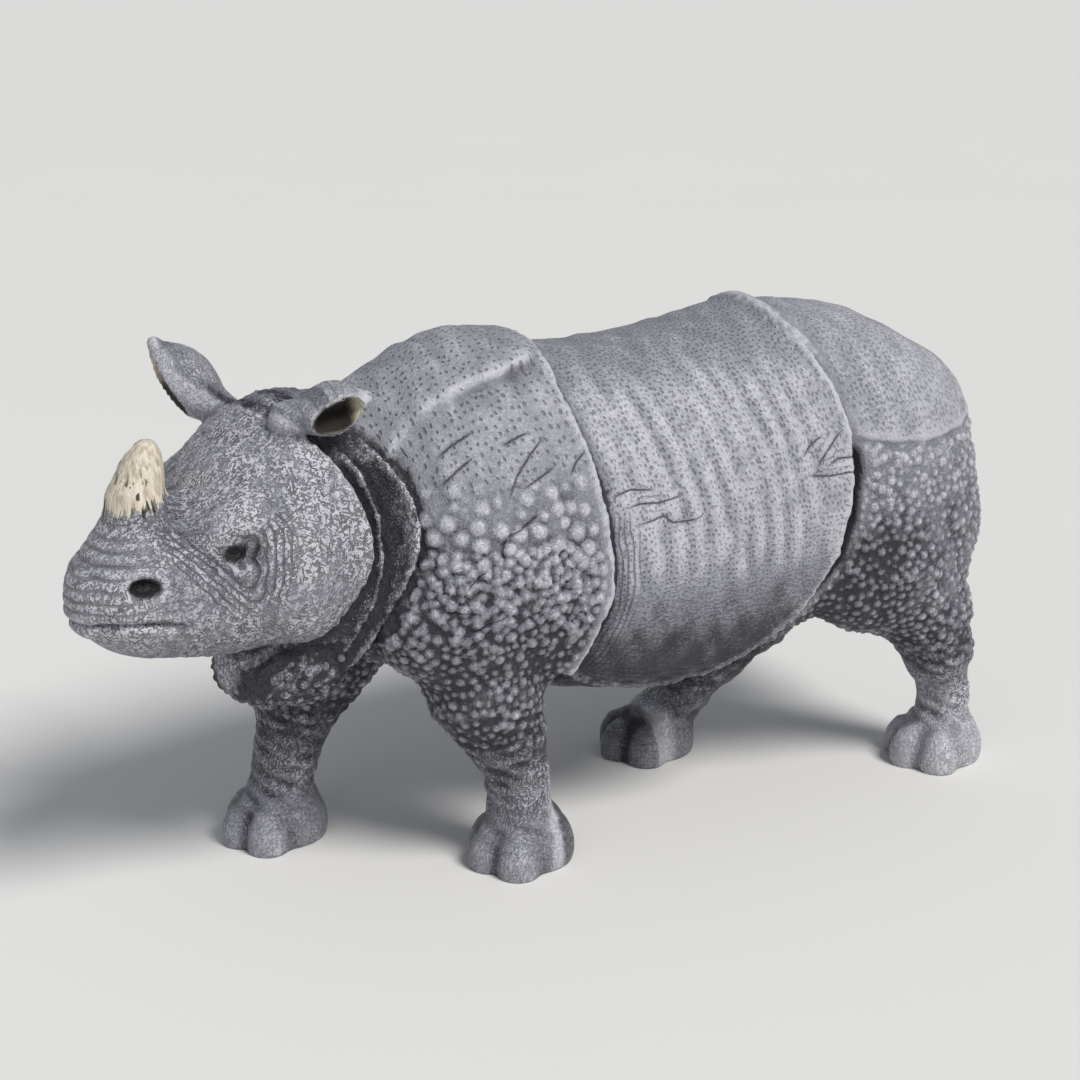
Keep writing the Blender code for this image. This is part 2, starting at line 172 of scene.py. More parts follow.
def above(x, z, places, heights):
    """How far a point lies above a fold that runs along the flank at z = heights(x)."""
    slope = np.gradient(np.asarray(heights, float), np.asarray(places, float))
    lean = np.interp(x, places, slope)
    return (z - flow(x, places, heights)) / np.sqrt(1.0 + lean**2)


def fold(s, lip, groove, reach=5.0, sharp=0.25):
    """Height of the skin near a fold: a lip on its own side, where s is positive, and a groove past it."""
    side = 1.0 / (1.0 + np.exp(np.clip(-s / sharp, -40.0, 40.0)))
    raised = lip * np.exp(-np.maximum(s, 0.0) / reach)
    sunk = groove * np.exp(np.minimum(s, 0.0) / (0.7 * reach))
    return side * raised - (1.0 - side) * sunk


def ridge(s, height, width):
    return height * np.exp(-((s / width) ** 2))


def furrows(t, spacing, width):
    """0 on the skin between the furrows, 1 in the middle of each. They lie a spacing apart along t."""
    return np.exp(-(((t / spacing - np.round(t / spacing)) * spacing / width) ** 2))


def crumple(p, size, seed=1, stretch=(1.0, 1.0, 1.0)):
    """Uneven lumps about a size apart, from -1 to 1 or so. A seed gives the same lumps each time."""
    rng = np.random.default_rng(seed)
    total = np.zeros(p.shape[1])
    waves = 7
    for _ in range(waves):
        way = rng.normal(size=3)
        way *= 2.0 * math.pi / (np.linalg.norm(way) * size * rng.uniform(0.75, 1.3))
        total += np.sin((way / stretch) @ p + rng.uniform(0.0, 2.0 * math.pi))
    return total / math.sqrt(waves)


SHOULDER_FOLD = ((33, 41, 48, 57, 68, 77, 87, 95, 104), (-8, -4, -1, 1.8, 1.5, 0.4, -1.5, -3.5, -3))
HIP_FOLD = ((32, 47, 55, 65, 75, 82, 90, 98, 105), (36, 48.4, 53.8, 56.9, 57.8, 56.9, 54.5, 51, 47))
BELLY_LIP = ((-8, -2, 7, 18, 28, 36, 42, 50), (42, 37, 33.5, 32.3, 34, 38, 42, 48))
RUMP_FOLD = ((57, 68, 82, 98), (80, 77.7, 77.6, 81))
SCAPULAR_RIDGE = ((-41, -35, -29, -18, -6), (82, 90.5, 95, 99, 101.5))
CHEEK_RIM = ((48, 52, 55, 61, 68, 76, 84, 92, 100), (-69, -62.5, -56.5, -49.5, -46, -46.8, -50.8, -58, -68))
COLLAR_RIMS = (
    ((38, 43, 51, 58.5, 68, 76, 83, 91, 98), (-57, -53, -49, -45, -42.6, -43, -45.8, -51.8, -58)),
    ((38, 47, 56, 63.5, 70, 76, 83, 88, 95), (-53, -46.5, -42, -38.3, -35.8, -35.6, -38.1, -42, -49)),
)
MOUTH = ((-100, -94, -88, -80), (63.5, 64.3, 63.6, 61.2))

EYE = (-74.5, 12.5, 74.3)
NOSTRIL = (-90.6, 11.4, 70.7)
HORN_BASE = 76.5
IVORY_LINE = 83.0
RIB_SPACING = 4.6
RIB_HEIGHT = 0.11
NOSE_LINE_SPACING = 1.95
EYE_RING_SPACING = 1.15
FOLD_LINE_SPACING = 1.15
NECK_LINE_SPACING = 1.6
BARREL_MIDDLE = 60.0

# where along the head and neck the turn of the head begins and is complete
NECK_HINGE = -38.0
NECK_BEND = (36.0, 58.0)

# sizes that the figure takes from the settings
FIGURE_SIZES = (
    "horn_height",
    "horn_radius",
    "ear_length",
    "ear_radius",
    "ear_wall",
    "foot_radius",
    "toe_radius",
    "tail_length",
    "tail_radius",
    "fold_lip",
    "fold_groove",
    "collar_flare",
)

# a leg's knots are (x, y, z, radius)
FRONT_LEFT = (
    (-22, -15, 50, 12),
    (-19.5, -16, 38, 10.6),
    (-15.8, -16.6, 28, 7.6),
    (-12.9, -17, 19, 5.7),
    (-12.2, -17, 8, 6.8),
)
FRONT_RIGHT = (
    (-30, 15, 50, 12),
    (-40.5, 15.5, 37, 10),
    (-45.5, 16, 28, 8),
    (-48.2, 16, 18.5, 6),
    (-50.5, 16, 8, 6.6),
)
REAR_LEFT = (
    (75, -15, 50, 14),
    (86.5, -16, 36, 9.4),
    (90.5, -16.2, 26, 7),
    (93.4, -16.2, 15.5, 4.9),
    (93.2, -16, 8, 6),
)
REAR_RIGHT = (
    (69, 15, 48, 14),
    (69, 15.5, 36, 10.5),
    (65, 16, 28, 7.6),
    (54.7, 16.5, 19.5, 5.9),
    (46.5, 17, 12.5, 5.4),
    (40.5, 17, 8, 6.0),
)
LEGS = (FRONT_LEFT, FRONT_RIGHT, REAR_LEFT, REAR_RIGHT)
FEET = ((-11.8, -17.0), (-51.2, 16.0), (92.2, -16.0), (37.6, 17.0))
TOE_ANGLES = (-56.0, 0.0, 56.0)

# an ear is its root, its tip, the way its mouth opens and its width's share of the full one
EARS = (
    ((-59.0, -12.0, 95.5), (-44.5, -19.5, 98.2), (0.25, -0.95, -0.15), 0.80),
    ((-60.5, 13.0, 92.5), (-69.0, 22.0, 106.0), (-0.9, 0.42, -0.05), 1.0),
)


class Figure:
    """The animal's form. Its methods give distances from a surface in parts, negative inside it."""

    head_turn = 14.0

    def __init__(self, sizes):
        part = sizes.figure_length / PARTS
        for name in FIGURE_SIZES:
            setattr(self, name, getattr(sizes, name) / part)

    # The trunk

    def trunk(self, p):
        stations = (
            (-36, 96.5, 65, 42, 19.5),
            (-28, 101.0, 63, 37, 23.5),
            (-19, 104.2, 61, 34, 25.5),
            (-10, 103.4, 60, 32.5, 27.0),
            (0, 100.2, 58.5, 30, 28.0),
            (13, 99.5, 56.5, 27.5, 29.5),
            (30, 101.0, 56.5, 27.5, 30.0),
            (46, 103.8, 59.5, 31, 28.5),
            (60, 102.8, 63, 37, 27.5),
            (75, 99.3, 65.5, 42, 25.0),
            (86, 91.5, 66.5, 49, 20.0),
        )
        bulges = (
            ((-17, 15.5, 64), (19.5, 13, 27), 0, 5.0),
            ((-23.5, 16, 53.5), (18.5, 11.5, 14.5), 8, 3.0),
            ((76, 13, 71), (19.5, 14, 23.5), 0, 8.0),
            ((77, 15.5, 56), (21, 12.5, 24), 0, 3.0),
            ((68, 17, 49), (15, 10, 13.5), 18, 3.0),
        )
        return bulged(loft(p, stations, 9.0, 2.25), mirrored(p), bulges)

    def trunk_relief(self, p):
        """Height of the folds on the trunk above its plain form."""
        x, _, z = p
        lip, groove = self.fold_lip, self.fold_groove
        shoulder = past(x, z, *SHOULDER_FOLD)
        relief = fold(shoulder, lip, groove, 4.5) * window(z, 37, 114, 4) * step(x, -46, -40)
        hip = past(x, z, *HIP_FOLD)
        relief += fold(hip, lip, 1.4 * groove, 5.0) * window(z, 38, 90, 10)
        relief += ridge(hip + 0.5, 0.9 * lip, 2.0) * window(z, 84, 116, 8)
        relief -= ridge(hip + 1.8, 1.8 * groove, 1.5) * window(z, 43, 74, 5)
        belly = above(x, z, *BELLY_LIP)
        relief += fold(belly, lip, 1.3 * groove, 4.0) * window(x, -4, 44, 5)
        rump = above(x, z, *RUMP_FOLD)
        relief += fold(rump, 0.25 * lip, 0.45 * groove, 4.0) * window(x, 62, 110, 5)
        scapular = above(x, z, *SCAPULAR_RIDGE)
        rise = ridge(scapular, 0.8 * lip, 1.7) - ridge(scapular + 3.0, 0.5 * groove, 1.8)
        return relief + rise * window(x, -38, -8, 4)

    def tail(self, p):
        root, length, radius = 86.0, self.tail_length, self.tail_radius
        knots = (
            (88.5, 0, root, 1.5 * radius),
            (95.5, 0, root - 0.35 * length, 1.2 * radius),
            (97.5, 0, root - 0.75 * length, radius),
            (97.0, 0, root - length, 1.3 * radius),
        )
        return limb(p, knots, 2.0)

    # The neck, with its collars of loose skin

    def neck(self, p):
        stations = (
            (-66, 93, 72, 52, 13.5),
            (-60, 96.6, 71, 48, 14.8),
            (-54, 97.2, 70, 46, 15.8),
            (-47, 96, 69, 45, 16.4),
            (-41, 95.5, 68, 44, 17.4),
            (-34, 98, 66, 42, 20.0),
            (-26, 102, 63, 38, 24.0),
        )
        return loft(p, stations, 6.0, 2.2)

    def collar(self, p, rim, flare, reach):
        """A ring of neck skin that flares out to its rim, where it ends."""
        s = past(p[0], p[2], *rim)
        spread = flare * np.exp(-np.maximum(s, 0.0) / reach) * window(p[2], 40, 86, 5)
        return cut(self.neck(p) - spread, s, 1.4)

    def bib(self, p):
        """The flap of skin that hangs under the throat."""
        d = ellipsoid(p, (-57.5, 0, 48.5), (12.5, 11.5, 9.5), pitch=-22)
        return join(d, ellipsoid(p, (-52, 0, 46), (8, 13, 8)), 4.0)

    # The head

    def skull(self, p):
        stations = (
            (-96.5, 73.0, 67, 60.5, 5.4),
            (-93.5, 77.0, 66.5, 57.8, 8.2),
            (-89, 81.0, 66, 55.5, 10.2),
            (-83, 82.0, 67, 54.0, 11.8),
            (-78, 83.5, 68, 52.8, 13.0),
            (-72, 89.0, 69, 52.0, 15.0),
            (-66, 93.5, 70, 52.0, 17.3),
            (-60, 97.2, 71, 52.5, 19.2),
            (-53, 98.0, 72, 54.0, 21.0),
            (-44, 96.5, 72, 56.0, 22.6),
        )
        bulges = (
            ((-58, 12.0, 69), (13, 8.8, 15), -12, 4.0),
            ((-72.5, 11.5, 80), (6, 4.5, 3.6), -30, 4.0),
            ((-91.0, 5.8, 68), (5.6, 4.8, 5.5), 0, 3.0),
        )
        return bulged(loft(p, stations, 3.0, 2.3), mirrored(p), bulges)

    def head_relief(self, p):
        mouth = above(p[0], p[2], *MOUTH)
        return -ridge(mouth, 0.6 * self.fold_groove, 0.5) * window(p[0], -110, -85, 3)

    def eyeball(self, p):
        return ellipsoid(mirrored(p), EYE, (2.1, 2.1, 1.6))

    def nostril(self, p):
        return ellipsoid(mirrored(p), NOSTRIL, (3.2, 3.6, 1.8), pitch=8)

    def features(self, p, d):
        """Cuts the eye sockets and nostrils into the head and sets the eyes."""
        x, y, z = EYE
        d = cut(d, ellipsoid(mirrored(p), (x, y + 4.2, z + 0.1), (4.2, 3.0, 3.6)), 1.4)
        d = join(d, self.eyeball(p), 0.3)
        return cut(d, self.nostril(p), 0.8)

    def horn(self, p):
        height, radius = self.horn_height, self.horn_radius
        knots = (
            (-85.6, 0, HORN_BASE, 1.05 * radius),
            (-85.4, 0, HORN_BASE + 0.38 * height, 0.86 * radius),
            (-83.8, 0, HORN_BASE + 0.70 * height, 0.57 * radius),
            (-82.6, 0, HORN_BASE + height - 0.37 * radius, 0.37 * radius),
        )
        return limb(p, knots, 3.0)

    def ear_frame(self, p, root, tip, mouth, spread):
        """Points seen from an ear: the mouth's way, sideways and along it from its root."""
        up = np.array(tip, float) - root
        up /= np.linalg.norm(up)
        front = np.array(mouth, float)
        front -= up * (front @ up)
        front /= np.linalg.norm(front)
        side = np.cross(up, front) / spread
        return np.array([front, side, up]) @ (p - np.array(root, float)[:, None])

    def ear_cup(self, q):
        length, radius = self.ear_length, self.ear_radius
        radii = (1.3 * radius, radius - self.ear_wall, 0.36 * length)
        return ellipsoid(q, (0.95 * radius, 0, 0.50 * length), radii)

    def ear(self, p, place):
        """A cupped leaf that grows from its root towards its tip and opens towards the mouth direction."""
        length, radius, wall = self.ear_length, self.ear_radius, self.ear_wall
        q = self.ear_frame(p, *place)
        blade = ellipsoid(q, (0, 0, 0.42 * length), (radius, radius, 0.42 * length))
        tip = (-0.1 * radius, 0, length - wall, 0.8 * wall)
        point = limb(q, ((0, 0, 0.42 * length, 0.80 * radius), tip))
        foot = (-0.2 * radius, 0, -0.1 * length, 0.6 * radius)
        stalk = limb(q, (foot, (0, 0, 0.2 * length, 0.65 * radius)))
        return cut(join(join(blade, point, 1.5), stalk, 2.0), self.ear_cup(q), 0.5)

    # The legs

    def toes(self, place):
        """Centre and angle of each toe of a foot."""
        out = 0.70 * self.foot_radius
        for angle in TOE_ANGLES:
            a = math.radians(angle)
            yield (place[0] - out * math.cos(a), place[1] + out * math.sin(a), 1.8), angle

    def foot(self, p, place):
        """A round pad with three blunt toes at its front."""
        radius, toe = self.foot_radius, self.toe_radius
        d = ellipsoid(p, (place[0] + 1.4, place[1], 2.5), (radius, 0.94 * radius, 0.95 * radius))
        for at, angle in self.toes(place):
            d = join(d, ellipsoid(p, at, (toe, 0.92 * toe, 1.35 * toe), yaw=-angle), 1.3)
        return d

    def legs(self, p):
        d = None
        for knots, place in zip(LEGS, FEET):
            one = join(limb(p, knots, 3.0), self.foot(p, place), 3.0)
            d = one if d is None else np.minimum(d, one)
        return d

    # The whole

    def unturned(self, p):
        """The same points with the head turned back to straight ahead."""
        angle = np.radians(self.head_turn) * step(-p[0], *NECK_BEND)
        c, s = np.cos(angle), np.sin(angle)
        x, y = p[0] - NECK_HINGE, p[1]
        return np.array([NECK_HINGE + c * x + s * y, c * y - s * x, p[2]])

    def distance(self, p):
        h = self.unturned(p)
        face = cut(self.skull(h) - self.head_relief(h), past(h[0], h[2], *CHEEK_RIM), 1.4)
        face = self.features(h, join(face, self.horn(h), 3.0))
        d = join(self.trunk(p) - self.trunk_relief(p), self.neck(h), 2.0)
        d = join(d, self.collar(h, COLLAR_RIMS[0], 0.85 * self.collar_flare, 3.2), 1.0)
        d = join(d, self.collar(h, COLLAR_RIMS[1], self.collar_flare, 4.6), 1.0)
        d = join(d, self.bib(h), 1.0)
        d = join(d, face, 1.0)
        d = join(d, np.minimum(self.ear(h, EARS[0]), self.ear(h, EARS[1])), 1.5)
        d = join(d, self.legs(p), 2.5)
        return join(d, self.tail(p), 1.0)


# Carving: what is cut into the moulded form, as heights in parts

# creases on the flank, as bent lines of (x, z)
CREASES = (
    ((-30.8, 85.1), (-27.5, 87.8), (-23.1, 90.0)),
    ((-31.0, 80.6), (-27.5, 83.6), (-24.3, 85.8)),
    ((-19.7, 77.3), (-17.5, 81.6), (-13.9, 85.1), (-9.6, 88.3)),
    ((-16.7, 79.4), (-12.8, 81.0), (-8.9, 82.7)),
    ((-6.3, 80.5), (-4.4, 82.8), (-2.1, 84.5)),
    ((-18.9, 87.1), (-16.1, 88.2), (-13.2, 88.9)),
    ((-20.7, 71.2), (-17.9, 72.4), (-13.4, 74.8)),
    ((-28.5, 61.7), (-25.7, 64.5), (-23.9, 65.9)),
    ((-20.7, 71.2), (-21.4, 68.7), (-20.9, 66.4)),
    ((-33.7, 58.2), (-29.6, 57.9), (-26.0, 57.4)),
    ((-28.6, 53.7), (-24.5, 55.1), (-20.0, 56.8)),
    ((2.4, 74.8), (6.3, 76.2), (11.8, 75.6)),
    ((4.4, 72.6), (8.0, 73.4), (12.1, 73.2), (17.8, 74.2)),
    ((6.4, 69.1), (12.8, 70.7), (14.6, 69.1), (19.1, 69.1), (22.4, 70.4)),
    ((45.3, 73.9), (51.3, 73.1), (55.8, 73.4), (59.5, 72.9)),
    ((48.4, 74.7), (51.4, 78.3), (54.7, 81.9)),
    ((45.2, 77.4), (47.5, 79.7), (50.6, 81.3)),
    ((50.5, 74.9), (53.4, 76.4), (59.5, 76.2)),
)


def beside(x, z, line):
    """Distance to the side of a bent line in the flank's plane, and 1 beside it but 0 past its ends."""
    side, near = np.full_like(x, 9.0), np.zeros_like(x)
    run = 0.0
    legs = list(zip(line, line[1:]))
    total = sum(math.dist(a, b) for a, b in legs)
    for a, b in legs:
        long = math.dist(a, b)
        along = np.array(((b[0] - a[0]) / long, (b[1] - a[1]) / long))
        t = (x - a[0]) * along[0] + (z - a[1]) * along[1]
        s = (x - a[0]) * along[1] - (z - a[1]) * along[0]
        away = np.hypot(s, t - np.clip(t, 0.0, long))
        nearer = away < np.abs(side)
        side = np.where(nearer, np.where(s < 0, -away, away), side)
        ends = np.clip(np.minimum(run + t, total - run - t) / (0.22 * total), 0.0, 1.0)
        near = np.where(nearer, ends, near)
        run += long
    return side, near * (1.0 - step(np.abs(side), 0.5, 1.1))


class Skin:
    """Where each kind of skin lies on the figure, and what is carved there."""

    def __init__(self, figure, p):
        self.figure, self.p = figure, p
        self.h = h = figure.unturned(p)
        x, _, z = p
        self.shoulder = past(x, z, *SHOULDER_FOLD)
        self.hip = past(x, z, *HIP_FOLD)
        self.rump = above(x, z, *RUMP_FOLD)
        self.belly = above(x, z, *BELLY_LIP)
        self.scapular = above(x, z, *SCAPULAR_RIDGE)
        self.cheek = past(h[0], h[2], *CHEEK_RIM)
        self.front_rim, self.rim = (past(h[0], h[2], *rim) for rim in COLLAR_RIMS)
        self.head = step(self.cheek, -0.8, 0.4) * step(-h[0], 40, 44) * step(z, 38, 42)
        self.behind_rim = np.maximum(step(-self.rim, -0.2, 1.2), 1.0 - step(z, 34, 38))
        self.on_neck = (1.0 - self.head) * (1.0 - self.behind_rim)

    def knobs(self):
        """Where tubercles grow: the shoulder and thigh plates, the upper legs and the bib."""
        z = self.p[2]
        plate = self.behind_rim * step(self.shoulder, 1.4, 3.0) * (1.0 - step(z, 64, 90))
        thigh = step(-self.hip, 3.0, 5.0) * (1.0 - step(self.rump, -3, 1))
        legs = 0.7 * (1.0 - step(z, 34, 40)) * (self.figure.legs(self.p) < 1.5)
        bib = (1.0 - self.head) * step(-self.h[0], 47, 52) * (1.0 - step(z, 50, 56)) * step(z, 34, 38)
        upper = np.maximum(plate, thigh) * step(z, 30, 36)
        return np.maximum(np.maximum(upper, legs) * step(z, 18, 32), bib)

    def knob_size(self):
        """1 where tubercles are large, on top of the shoulder plate, and 0 where they are small."""
        z = self.p[2]
        large = 0.45 * step(z, 44, 54) + 0.55 * step(z, 62, 76)
        return step(self.shoulder, 1.0, 3.0) * large * self.behind_rim

    def barrel(self):
        return step(-self.shoulder, 0.5, 2.0) * step(self.hip, 0.5, 2.0)

    def pits(self):
        """Where the skin has large pits, on the hump, and where small ones, on the barrel and the rump."""
        z = self.p[2]
        hump = self.behind_rim * step(self.shoulder, 0.6, 1.6) * step(z, 72, 84)
        rump = step(-self.hip, 1.5, 3.0) * step(self.rump, 0, 2.0)
        return hump, np.maximum(self.barrel() * step(z, 26, 32), 0.9 * rump)

    def shade(self):
        """How much painted shade lies here, partly as a heavier dark wash: 1 in the darkest places, below 0
        where painted light and dry brushing cover it.
        """
        x, _, z = self.p
        back = -self.h[0]
        u, v = self.h[0] - EYE[0], z - EYE[2]
        # painted shade between the collars, on the shoulder's front under the head, on the thigh, under the
        # belly, on the legs and bib, and in the eye and brow hollows
        collars = self.on_neck * step(back, 34, 40) * (1.0 - 0.5 * step(z, 88, 94)) * step(z, 36, 42)
        plate = self.behind_rim * step(self.shoulder, 0.0, 2.0)
        front = 0.75 * plate * (1.0 - step(z + 0.35 * (x + 10.0), 44, 66))
        behind_hip = step(-self.hip, 1.0, 4.0)
        thigh = behind_hip * (1.0 - step(self.rump, -26, -2))
        thigh *= 0.25 + 0.65 * (1.0 - step(x, 64, 88)) * (1.0 - step(z, 52, 74))
        belly = 1.3 * self.barrel() * (1.0 - step(z, 32, 62))
        legs = (1.0 - 1.1 * (1.0 - step(z, 13, 27))) * (1.0 - step(z, 32, 46))
        legs *= 1.0 - 0.20 * step(x, 60, 75)
        bib = 0.9 * (1.0 - self.head) * step(back, 46, 50) * (1.0 - step(z, 52, 58)) * step(z, 34, 38)
        jaw = 0.22 * self.head * (1.0 - step(z, 54, 64))
        eyes = 0.30 * self.head * (1.0 - step(np.hypot(u, v + 1.5), 2.0, 8.0))
        brow = 0.40 * self.head * window(u + 0.5 * v, -9.0, -4.0, 3.0) * window(v, 4.0, 14.0, 5.0)
        # painted light: lighter on the barrel's top, the rump, the head, the ears, the feet and the belly's
        # lip
        bright = self.barrel() * window(z, 62, 90, 8)
        bright += 0.6 * behind_hip * step(self.rump, -18, 2)
        bright += 0.75 * self.head + 1.2 * self.ears()
        bright += 2.2 * (1.0 - 0.25 * step(x, 60, 75)) * (1.0 - step(z, 11, 24))
        bright += 3.0 * window(self.belly, 0.3, 1.8, 0.6) * window(x, -6, 46, 3)
        dark = np.max([collars, front, thigh, belly, legs, bib, jaw, eyes, brow], axis=0)
        dark = np.clip(dark, 0.0, 1.0)
        return dark - 0.35 * bright * (1.0 - 0.8 * dark)

    def shadow(self):
        """1 in the gaps behind the rims and beside the folds, where painted shadow is black."""
        x, _, z = self.p
        rims = np.zeros_like(x)
        for s, low, high in ((self.cheek, 42, 45), (self.front_rim, 38, 41), (self.rim, 33, 36)):
            rims = np.maximum(rims, window(-s, 0.5, 1.6, 0.8) * step(-self.h[0], low, high))
        rims *= (1.0 - 0.6 * step(z, 80, 90)) * step(z, 40, 46)
        hip = window(-self.hip, 0.6, 2.9, 0.7) * window(z, 42, 74, 4)
        shoulder = 0.7 * window(-self.shoulder, 0.3, 0.9, 0.6) * window(z, 40, 74, 8)
        belly = 0.7 * window(-self.belly, 0.3, 1.5, 0.8) * window(x, -4, 44, 4)
        return np.max([rims, hip, shoulder, belly], axis=0)

    def wrinkles(self):
        """Where it is covered in fine short wrinkles: the face, the collars and the lower legs."""
        z = self.p[2]
        low = 1.0 - step(z, 26, 38)
        low *= 0.5 + 0.5 * step(z, 9, 15)
        return np.max([self.head, self.on_neck, low], axis=0) * (1.0 - 0.5 * self.ears())

    def muzzle(self):
        """Ridges across the front of the nose: a count from line to line, and how deep the lines are."""
        x, _, z = self.h
        wave = z - 0.03 * (x + 97.0) + 0.16 * crumple(self.h, 5.0, 11)
        deep = 0.85 * step(-x, 87.5, 93.0) * window(z, 66.5, 80.5, 1.2)
        return wave / NOSE_LINE_SPACING, deep * step(self.figure.nostril(self.h), 0.6, 1.4)

    def eye_reach(self):
        """Distance from the eye, equal along a V below it, 1 on the side of the head, and 1 near the eye."""
        x, y, z = mirrored(self.h)
        u, v = x - EYE[0], z - EYE[2]
        front = np.maximum(-0.75 * u - 0.66 * v, 0.0)
        rear = np.maximum(0.97 * u - 0.12 * v, 0.0)
        over = np.maximum(0.15 * u + 0.98 * v, 0.0)
        reach = (front**4 + rear**4 + over**4) ** 0.25 + 0.16 * crumple(self.h, 4.0, 21)
        below = 1.0 - 0.8 * step(over - np.maximum(front, rear), -0.5, 2.5)
        near = 1.0 - step(np.hypot(u, v), 9.0, 14.0)
        return reach, self.head * step(y, 5, 8), below * near

    def eye_rings(self):
        """Creases nested round the eye."""
        reach, side, below = self.eye_reach()
        return reach / EYE_RING_SPACING, side * window(reach, 3.3, 8.2, 0.9) * below

    def fold_lines(self):
        """Thin creases that run behind the shoulder fold, above the belly's lip and behind the last rim."""
        x, _, z = self.p
        s, b = -self.shoulder, self.belly
        waver = 0.30 * crumple(self.p, 6.0, 41)
        yield (s + waver) / FOLD_LINE_SPACING, 0.7 * window(s, 1.0, 5.2, 1.4) * window(z, 42, 68, 5)
        low = window(b, 1.2, 5.0, 1.6) * window(x, -3, 30, 5) * (1.0 - window(z, 42, 68, 3))
        yield (b + waver) / FOLD_LINE_SPACING, 0.6 * low
        neck = self.rim + waver
        high = window(neck, 1.5, 9.0, 2.0) * step(z, 84, 92)
        yield neck / NECK_LINE_SPACING, 0.5 * self.on_neck * high

    def lines(self):
        """Places counted across the skin's fine lines, whole on each line, and how deep the lines are."""
        wave, depth = np.zeros_like(self.p[0]), np.zeros_like(self.p[0])
        for here, strength in (self.muzzle(), self.eye_rings(), *self.fold_lines()):
            wave = np.where(strength > depth, here, wave)
            depth = np.maximum(depth, strength)
        return wave, depth

    def eyelids(self):
        reach, side, _ = self.eye_reach()
        return side * ridge(reach - 2.2, 0.30, 0.55)

    def lips(self):
        """A soft swelling along each lip, and the nostril's rim."""
        mouth = above(self.h[0], self.h[2], *MOUTH)
        front = window(self.h[0], -110, -87, 3) * self.head
        rim = ridge(self.figure.nostril(self.h) - 0.9, 0.25, 0.8)
        return front * (ridge(mouth - 1.4, 0.18, 0.8) + ridge(mouth + 1.4, 0.2, 0.9)) + rim * self.head

    def ears(self):
        """1 on the ears, inside and out."""
        away = np.minimum(self.figure.ear(self.h, EARS[0]), self.figure.ear(self.h, EARS[1]))
        return 1.0 - step(away, 0.3, 1.0)

    def leather(self):
        """Uneven lumps: fine on the face, beaded along the rims and folds, drawn sideways on the legs."""
        x, _, z = self.p
        back = -self.h[0]
        fine = np.maximum(self.head * step(self.h[0], -91, -86), self.on_neck)
        high = step(z, 38, 44)
        edges = (
            window(np.abs(self.cheek), 0.0, 1.2, 1.2) * step(back, 41, 45) * high,
            window(np.abs(self.front_rim), 0.0, 1.2, 1.2) * self.on_neck * high,
            window(np.abs(self.rim), 0.0, 1.4, 1.2) * step(back, 33, 38) * high,
            window(np.abs(self.shoulder - 0.7), 0.0, 0.8, 1.0) * step(z, 36, 42),
            window(np.abs(self.hip - 0.4), 0.0, 1.4, 1.2) * step(z, 36, 46),
            0.25 * window(np.abs(self.scapular), 0.0, 1.6, 1.2) * window(x, -40, -6, 2),
            window(np.abs(self.belly - 0.6), 0.0, 1.0, 1.0) * window(x, -6, 46, 3),
        )
        lumps = 0.10 * crumple(self.p, 2.2, 31) * fine
        lumps += 0.12 * crumple(self.p, 1.9, 32) * np.max(edges, axis=0)
        lumps += 0.16 * crumple(self.p, 6.5, 34) * step(z, 30, 40) * (1.0 - self.head)
        legs = 0.20 * crumple(self.p, 2.6, 33, (2.2, 2.2, 1.0)) * window(z, 10, 34, 6)
        return lumps * (1.0 - 0.8 * self.ears()) + legs

    def rib_wave(self):
        """Distance along the flank, counted across the ribs, which bend as the shoulder fold does."""
        x, _, z = self.p
        return x - flow(z, (40, 50, 60, 70, 80, 90, 100), (-1.0, 1.0, 2.0, 1.6, -0.6, -4.0, -8.0))

    def rib_swell(self):
        """1 on top of a rib and -1 between two."""
        return np.cos(2.0 * math.pi * self.rib_wave() / RIB_SPACING)

    def ribs(self):
        """Upright swellings along the barrel."""
        x, _, z = self.p
        mask = window(x, 8, 46, 6) * window(z, 62, 90, 10)
        return RIB_HEIGHT * self.rib_swell() * mask * (1.0 + 0.5 * crumple(self.p, 14.0, 42))

    def troughs(self):
        """How far down between two ribs a point lies: 0 on a rib, 1 between, a half where there are none.
        The paint darkens the troughs as painted shade.
        """
        return 0.5 - 0.5 * self.rib_swell() * window(self.p[2], 60, 92, 10) * self.barrel()

    def creases(self):
        """Distance to the side of the nearest crease on the flank, and 1 near one."""
        x, y, z = self.p
        side, near = np.full_like(x, 9.0), np.zeros_like(x)
        for line in CREASES:
            here, close = beside(x, z, line)
            side = np.where(np.abs(here) < np.abs(side), here, side)
            near = np.maximum(near, close)
        return side, near * step(np.abs(y), 10, 14) * self.behind_rim

    def nails(self):
        """1 on the toenails."""
        figure = self.figure
        radius = figure.toe_radius
        nail = np.zeros_like(self.p[0])
        for place in FEET:
            for at, angle in figure.toes(place):
                q = turned(self.p, at, yaw=-angle)
                front = step(-q[0], 0.35 * radius, 0.6 * radius)
                wide = 1.0 - step(np.abs(q[1]), 0.60 * radius, 0.78 * radius)
                tall = window(self.p[2], -1.0, 4.6, 0.6)
                near = np.linalg.norm(q, axis=0) < 2.0 * radius
                nail = np.maximum(nail, front * wide * tall * near)
        return nail

    def ivory(self):
        """How far up the horn a point lies, past the line where its ivory begins."""
        x, _, z = self.h
        away = self.figure.horn(self.h) - 1.0
        return np.where(away < 0.0, z - IVORY_LINE - 0.25 * (x + 86.0), -20.0)

